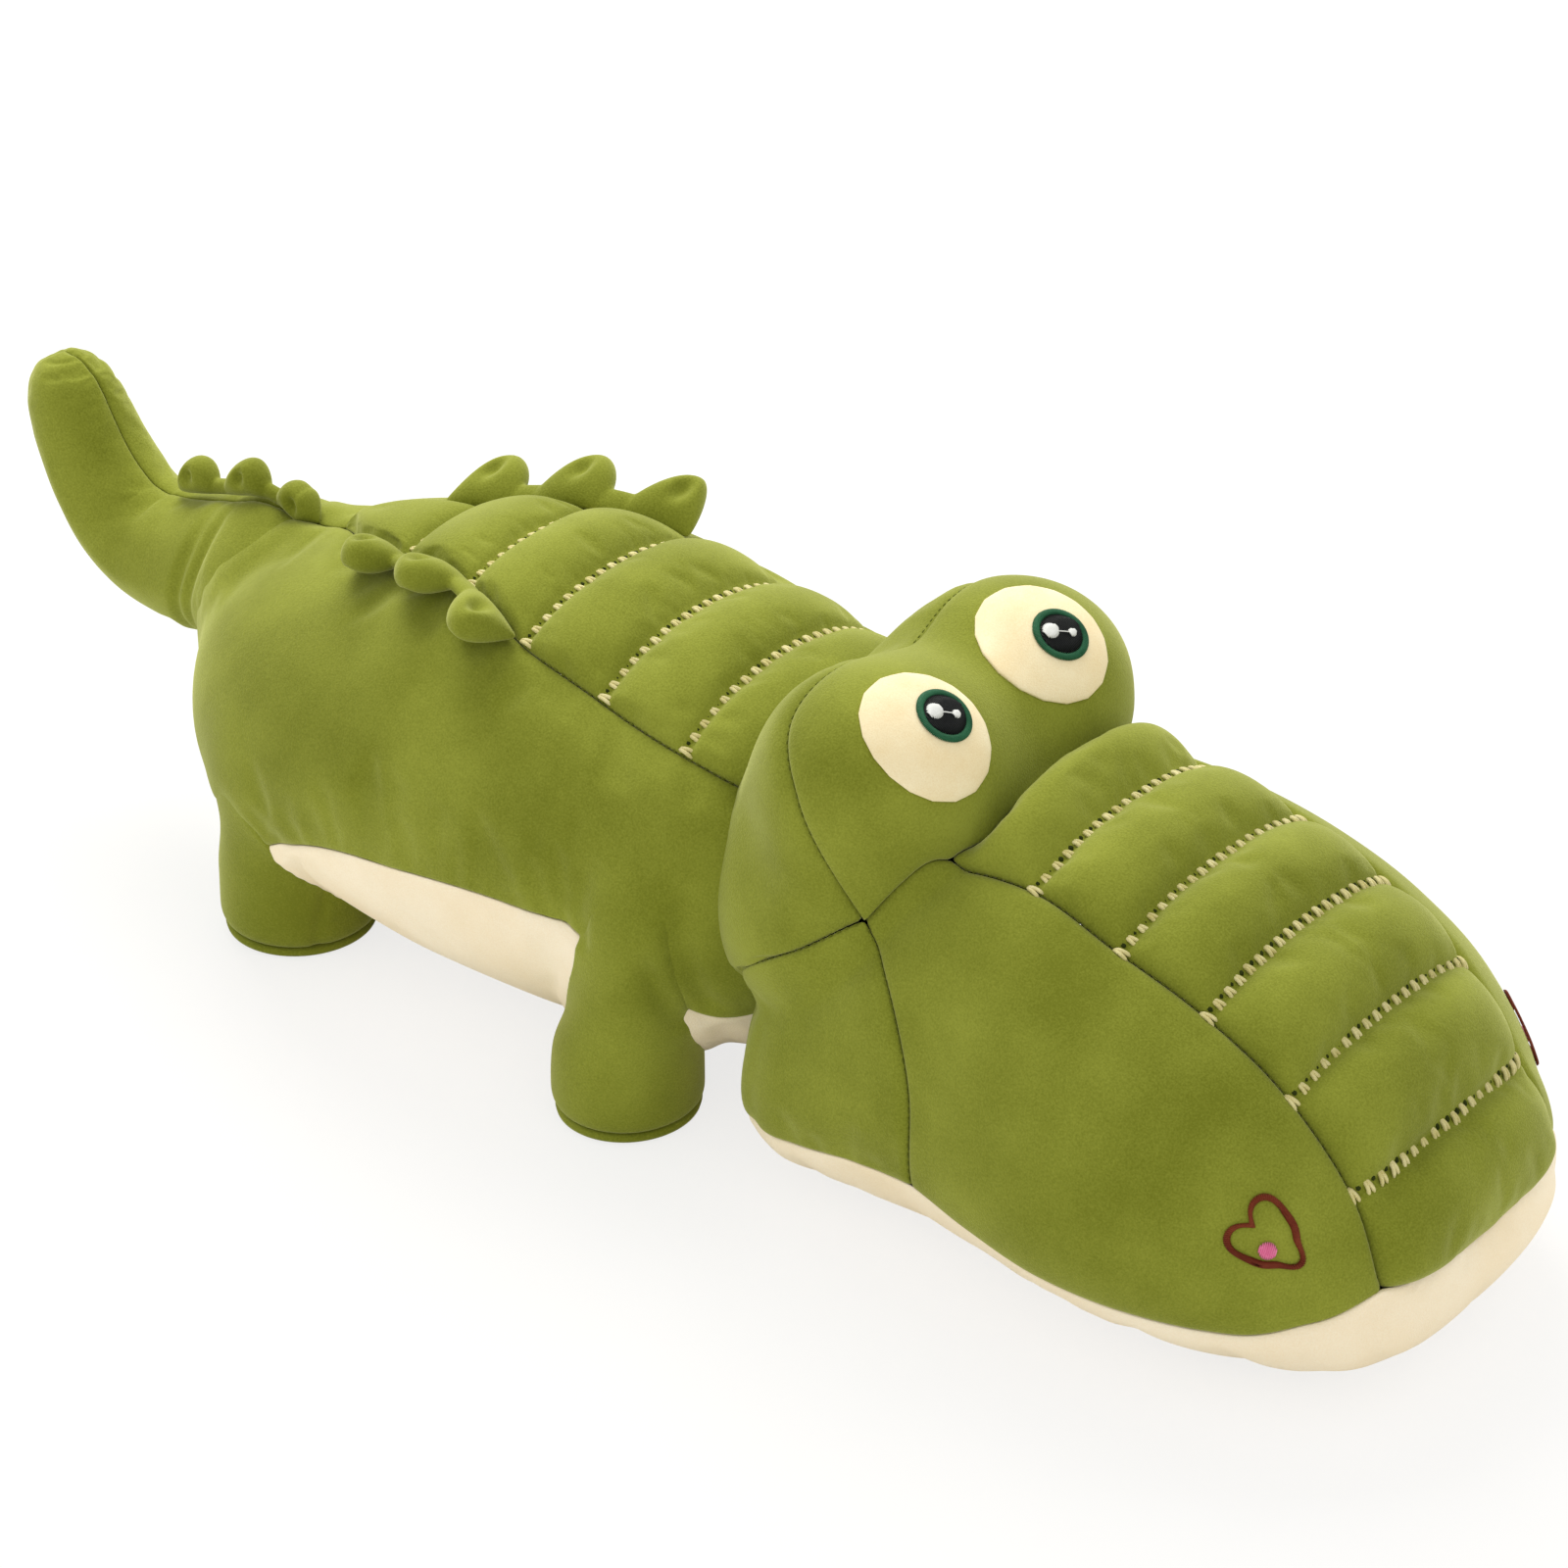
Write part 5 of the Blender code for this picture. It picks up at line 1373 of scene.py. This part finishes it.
def pad_disc(name, spot, outline, low, thick, surface):
    """A thin soft disc with a rounded edge, its outline given as flat points round a middle."""
    outline = np.asarray(outline)
    middle = outline.mean(axis=0)
    shares = np.sin(np.linspace(disc_middle_share, 1, disc_rings) * math.pi / 2)
    flat = np.array([middle + (outline - middle) * share for share in shares])
    rise = low + thick * np.sqrt(np.clip(1 - shares ** disc_edge_power, 0, 1))
    top = spot.lay(flat, np.broadcast_to(rise[:, None], flat.shape[:2]))
    under = spot.lay(flat[::-1], np.broadcast_to(low - disc_sink, flat.shape[:2]))
    return ring_solid(name, np.vstack([top, under]), surface)


def satin(threads, spot, inner, outer, lift, radius):
    """One thread from each inner flat point to its outer one."""
    t = np.linspace(0, 1, 5)
    for a, b in zip(inner, outer):
        flat = np.outer(1 - t, a) + np.outer(t, b)
        threads.add(spot.lay(flat, lift + satin_rise * np.sin(math.pi * t) ** 0.5), radius)


def filled_circle(threads, spot, centre, radius, pitch, lift):
    """Parallel upright threads that fill a circle."""
    t = np.linspace(-1, 1, 5)
    for x in np.arange(-radius + pitch / 2, radius, pitch):
        reach = math.sqrt(max(radius ** 2 - x ** 2, nearly_nought))
        flat = np.stack([np.full(len(t), centre[0] + x), centre[1] + t * reach], axis=-1)
        threads.add(spot.lay(flat, lift + fill_rise * (1 - t ** 4)), pitch * thread_radius_share)


def linked_glint(threads, spot, flip, radius):
    """The small glint and the thread that leads to it from the large one."""
    filled_circle(threads, spot, small_glint_place * flip, radius, glint_pitch, glint_seat)
    link = np.linspace(link_start, small_glint_place, 6) * flip
    threads.add(spot.lay(link, np.full(len(link), link_seat)), link_radius)


def heart_reach(around):
    """Reach of a plain heart, two lobes above a point, at each angle, as a share of its radius."""
    from_top = np.abs((around - math.pi / 2 + math.pi) % (2 * math.pi) - math.pi)
    reach = heart_body_share
    for height, angle, spread in heart_bump_shares:
        reach = reach + height * np.exp(-((from_top - angle) / spread) ** 2)
    return reach


def embroidered(name, surface, slot, draw, *values):
    """One embroidered piece of the face."""
    threads = Threads()
    draw(threads, *values)
    threads.build(name + "_stitched", surface, "head", (name,))


def build_face():
    """Eye patches, stitched irises and pupils, glints, and heart shaped nostrils."""
    for side, sign in (("right", 1.0), ("left", -1.0)):
        flip = np.array([1.0, sign, 1.0])
        flat_flip = np.array([sign, 1.0])
        across = np.array([0.0, sign, 0.0])
        spot = Spot(head_place(eye_patch_place_shares[side]), across)
        ring = unit_circle(patch_corners)
        halves = np.array([eye_patch_half_width, eye_patch_half_height])
        outline = ring / np.linalg.norm(ring / halves, axis=-1, keepdims=True)
        dense = []
        for a, b in zip(outline, np.roll(outline, -1, axis=0)):
            dense += [a * (1 - k) + b * k for k in patch_edge_shares]
        patch = pad_disc("eye_patch_" + side + "_felt", spot, dense, patch_lift, patch_thickness,
                         surfaces["eye_patch_felt"])
        entered(patch, "head", ("eye_patch_" + side,))

        spot = Spot(head_place(iris_place_shares[side]), across)
        ring = unit_circle(iris_points)
        embroidered("iris_" + side, "dark_green_thread", "green_thread", satin, spot,
                    ring * (pupil_radius - iris_overlap), ring * iris_radius, eye_seat, iris_thread_radius)
        embroidered("pupil_" + side, "black_thread", "black_thread", filled_circle, spot, (0.0, 0.0),
                    pupil_radius, thread_pitch, eye_seat)
        embroidered("eye_glint_large_" + side, "white_thread", "white_thread", filled_circle, spot,
                    large_glint_place * flat_flip, large_glint_radius, glint_pitch, glint_seat)
        embroidered("eye_glint_small_" + side, "white_thread", "white_thread", linked_glint, spot, flat_flip,
                    small_glint_radius)

        ahead = np.array([1.0, 0.0, 0.0])
        spot = Spot(head_place(nostril_place_share) * flip, ahead)
        around = turns(heart_points) - math.radians(nostril_tilt_degrees)
        reach = nostril_radius * heart_reach(around)[:, None]
        ring = unit_circle(heart_points)
        embroidered("nostril_heart_" + side, "brown_thread", "brown_thread", satin, spot,
                    ring * (reach - nostril_line), ring * reach, heart_seat, heart_thread_radius)
        spot = Spot(head_place(nostril_dot_place_share) * flip, ahead)
        embroidered("nostril_dot_" + side, "pink_thread", "pink_thread", filled_circle, spot, (0.0, 0.0),
                    nostril_dot_radius, thread_pitch, dot_seat)


build_face()

# Floor and light
floor_half = 6.0
floor_white_share = 0.78
backdrop_white = (1.0, 0.995, 0.985, 1.0)
sky_colour = (1.0, 0.99, 0.97, 1.0)
sky_strength = 0.86
lamp_place = Vector((-0.95, 0.80, 1.50))
lamp_aim = Vector((-0.10, 0.0, 0.10))
lamp_size = 1.2
lamp_power = 33.0
lamp_colour = (1.0, 0.98, 0.94)


def seen_directly(tree):
    """Socket that is one where the camera, a reflection or a view through glass looks."""
    ray = added(tree, "LightPath").outputs
    seen = added(tree, "Math", None, {0: ray["Is Camera Ray"], 1: ray["Is Glossy Ray"]})
    seen.operation = "MAXIMUM"
    also = added(tree, "Math", None, {0: seen.outputs[0], 1: ray["Is Transmission Ray"]})
    also.operation = "MAXIMUM"
    return also.outputs[0]


def whitened(made, share):
    """Let the camera and reflections see a surface mixed with plain white; its shadows stay, but lighter."""
    tree = made.node_tree
    part = added(tree, "Math", {1: share}, {0: seen_directly(tree)})
    part.operation = "MULTIPLY"
    white = added(tree, "Emission", {"Color": backdrop_white}).outputs["Emission"]
    mix = added(tree, "MixShader", None, {"Fac": part.outputs[0], 2: white,
                                          1: tree.nodes["Principled BSDF"].outputs["BSDF"]})
    tree.links.new(mix.outputs["Shader"], tree.nodes["Material Output"].inputs["Surface"])


def build_studio():
    """A pale floor, even light from all round, and one large soft lamp."""
    mesh = bpy.data.meshes.new("floor")
    corners = [(-1, -1), (1, -1), (1, 1), (-1, 1)]
    mesh.from_pydata([(x * floor_half, y * floor_half, 0.0) for x, y in corners], [], [(0, 1, 2, 3)])
    floor = bpy.data.objects.new("floor", mesh)
    bpy.context.scene.collection.objects.link(floor)
    whitened(surfaces["pale_floor"], floor_white_share)
    mesh.materials.append(surfaces["pale_floor"])

    world = bpy.data.worlds.new("studio")
    bpy.context.scene.world = world
    world.use_nodes = True
    tree = world.node_tree
    even = tree.nodes["Background"]
    even.inputs["Color"].default_value = sky_colour
    even.inputs["Strength"].default_value = sky_strength
    backdrop = added(tree, "Background", {"Color": backdrop_white, "Strength": 1.0})
    sky = added(tree, "MixShader", None, {"Fac": seen_directly(tree), 1: even.outputs["Background"],
                                          2: backdrop.outputs["Background"]})
    tree.links.new(sky.outputs["Shader"], tree.nodes["World Output"].inputs["Surface"])

    data = bpy.data.lights.new("key", "AREA")
    data.shape = "SQUARE"
    data.size = lamp_size
    data.energy = lamp_power
    data.color = lamp_colour
    lamp = bpy.data.objects.new("key", data)
    bpy.context.scene.collection.objects.link(lamp)
    lamp.location = lamp_place
    lamp.rotation_euler = (lamp_aim - lamp_place).to_track_quat("-Z", "Y").to_euler()


build_studio()

# Camera: turn about Z, height, roll, distance and aim
camera_turn_degrees = 36.6107
camera_height_degrees = 30.6557
camera_roll_degrees = 1.4181
camera_distance = 1.77921
camera_aim = Vector((0.135443, -0.110734, 0.198099))
camera_lens = 116.7
camera_sensor = 36.0
camera_clip_end = 50.0
turn = math.radians(camera_turn_degrees)
height = math.radians(camera_height_degrees)
roll = math.radians(camera_roll_degrees)
back = Vector((math.sin(turn) * math.cos(height), -math.cos(turn) * math.cos(height), math.sin(height)))
level = Vector((math.cos(turn), math.sin(turn), 0.0))
upright = level.cross(-back)
right = level * math.cos(roll) + upright * math.sin(roll)
up = upright * math.cos(roll) - level * math.sin(roll)
data = bpy.data.cameras.new("camera")
data.lens = camera_lens
data.sensor_width = camera_sensor
data.clip_end = camera_clip_end
camera = bpy.data.objects.new("camera", data)
bpy.context.scene.collection.objects.link(camera)
spot_at = camera_aim + back * camera_distance + Vector((slide_x, 0.0, 0.0))
camera.matrix_world = Matrix(((right.x, up.x, back.x, spot_at.x), (right.y, up.y, back.y, spot_at.y),
                              (right.z, up.z, back.z, spot_at.z), (0.0, 0.0, 0.0, 1.0)))
bpy.context.scene.camera = camera
bpy.context.scene.view_settings.view_transform = "Standard"
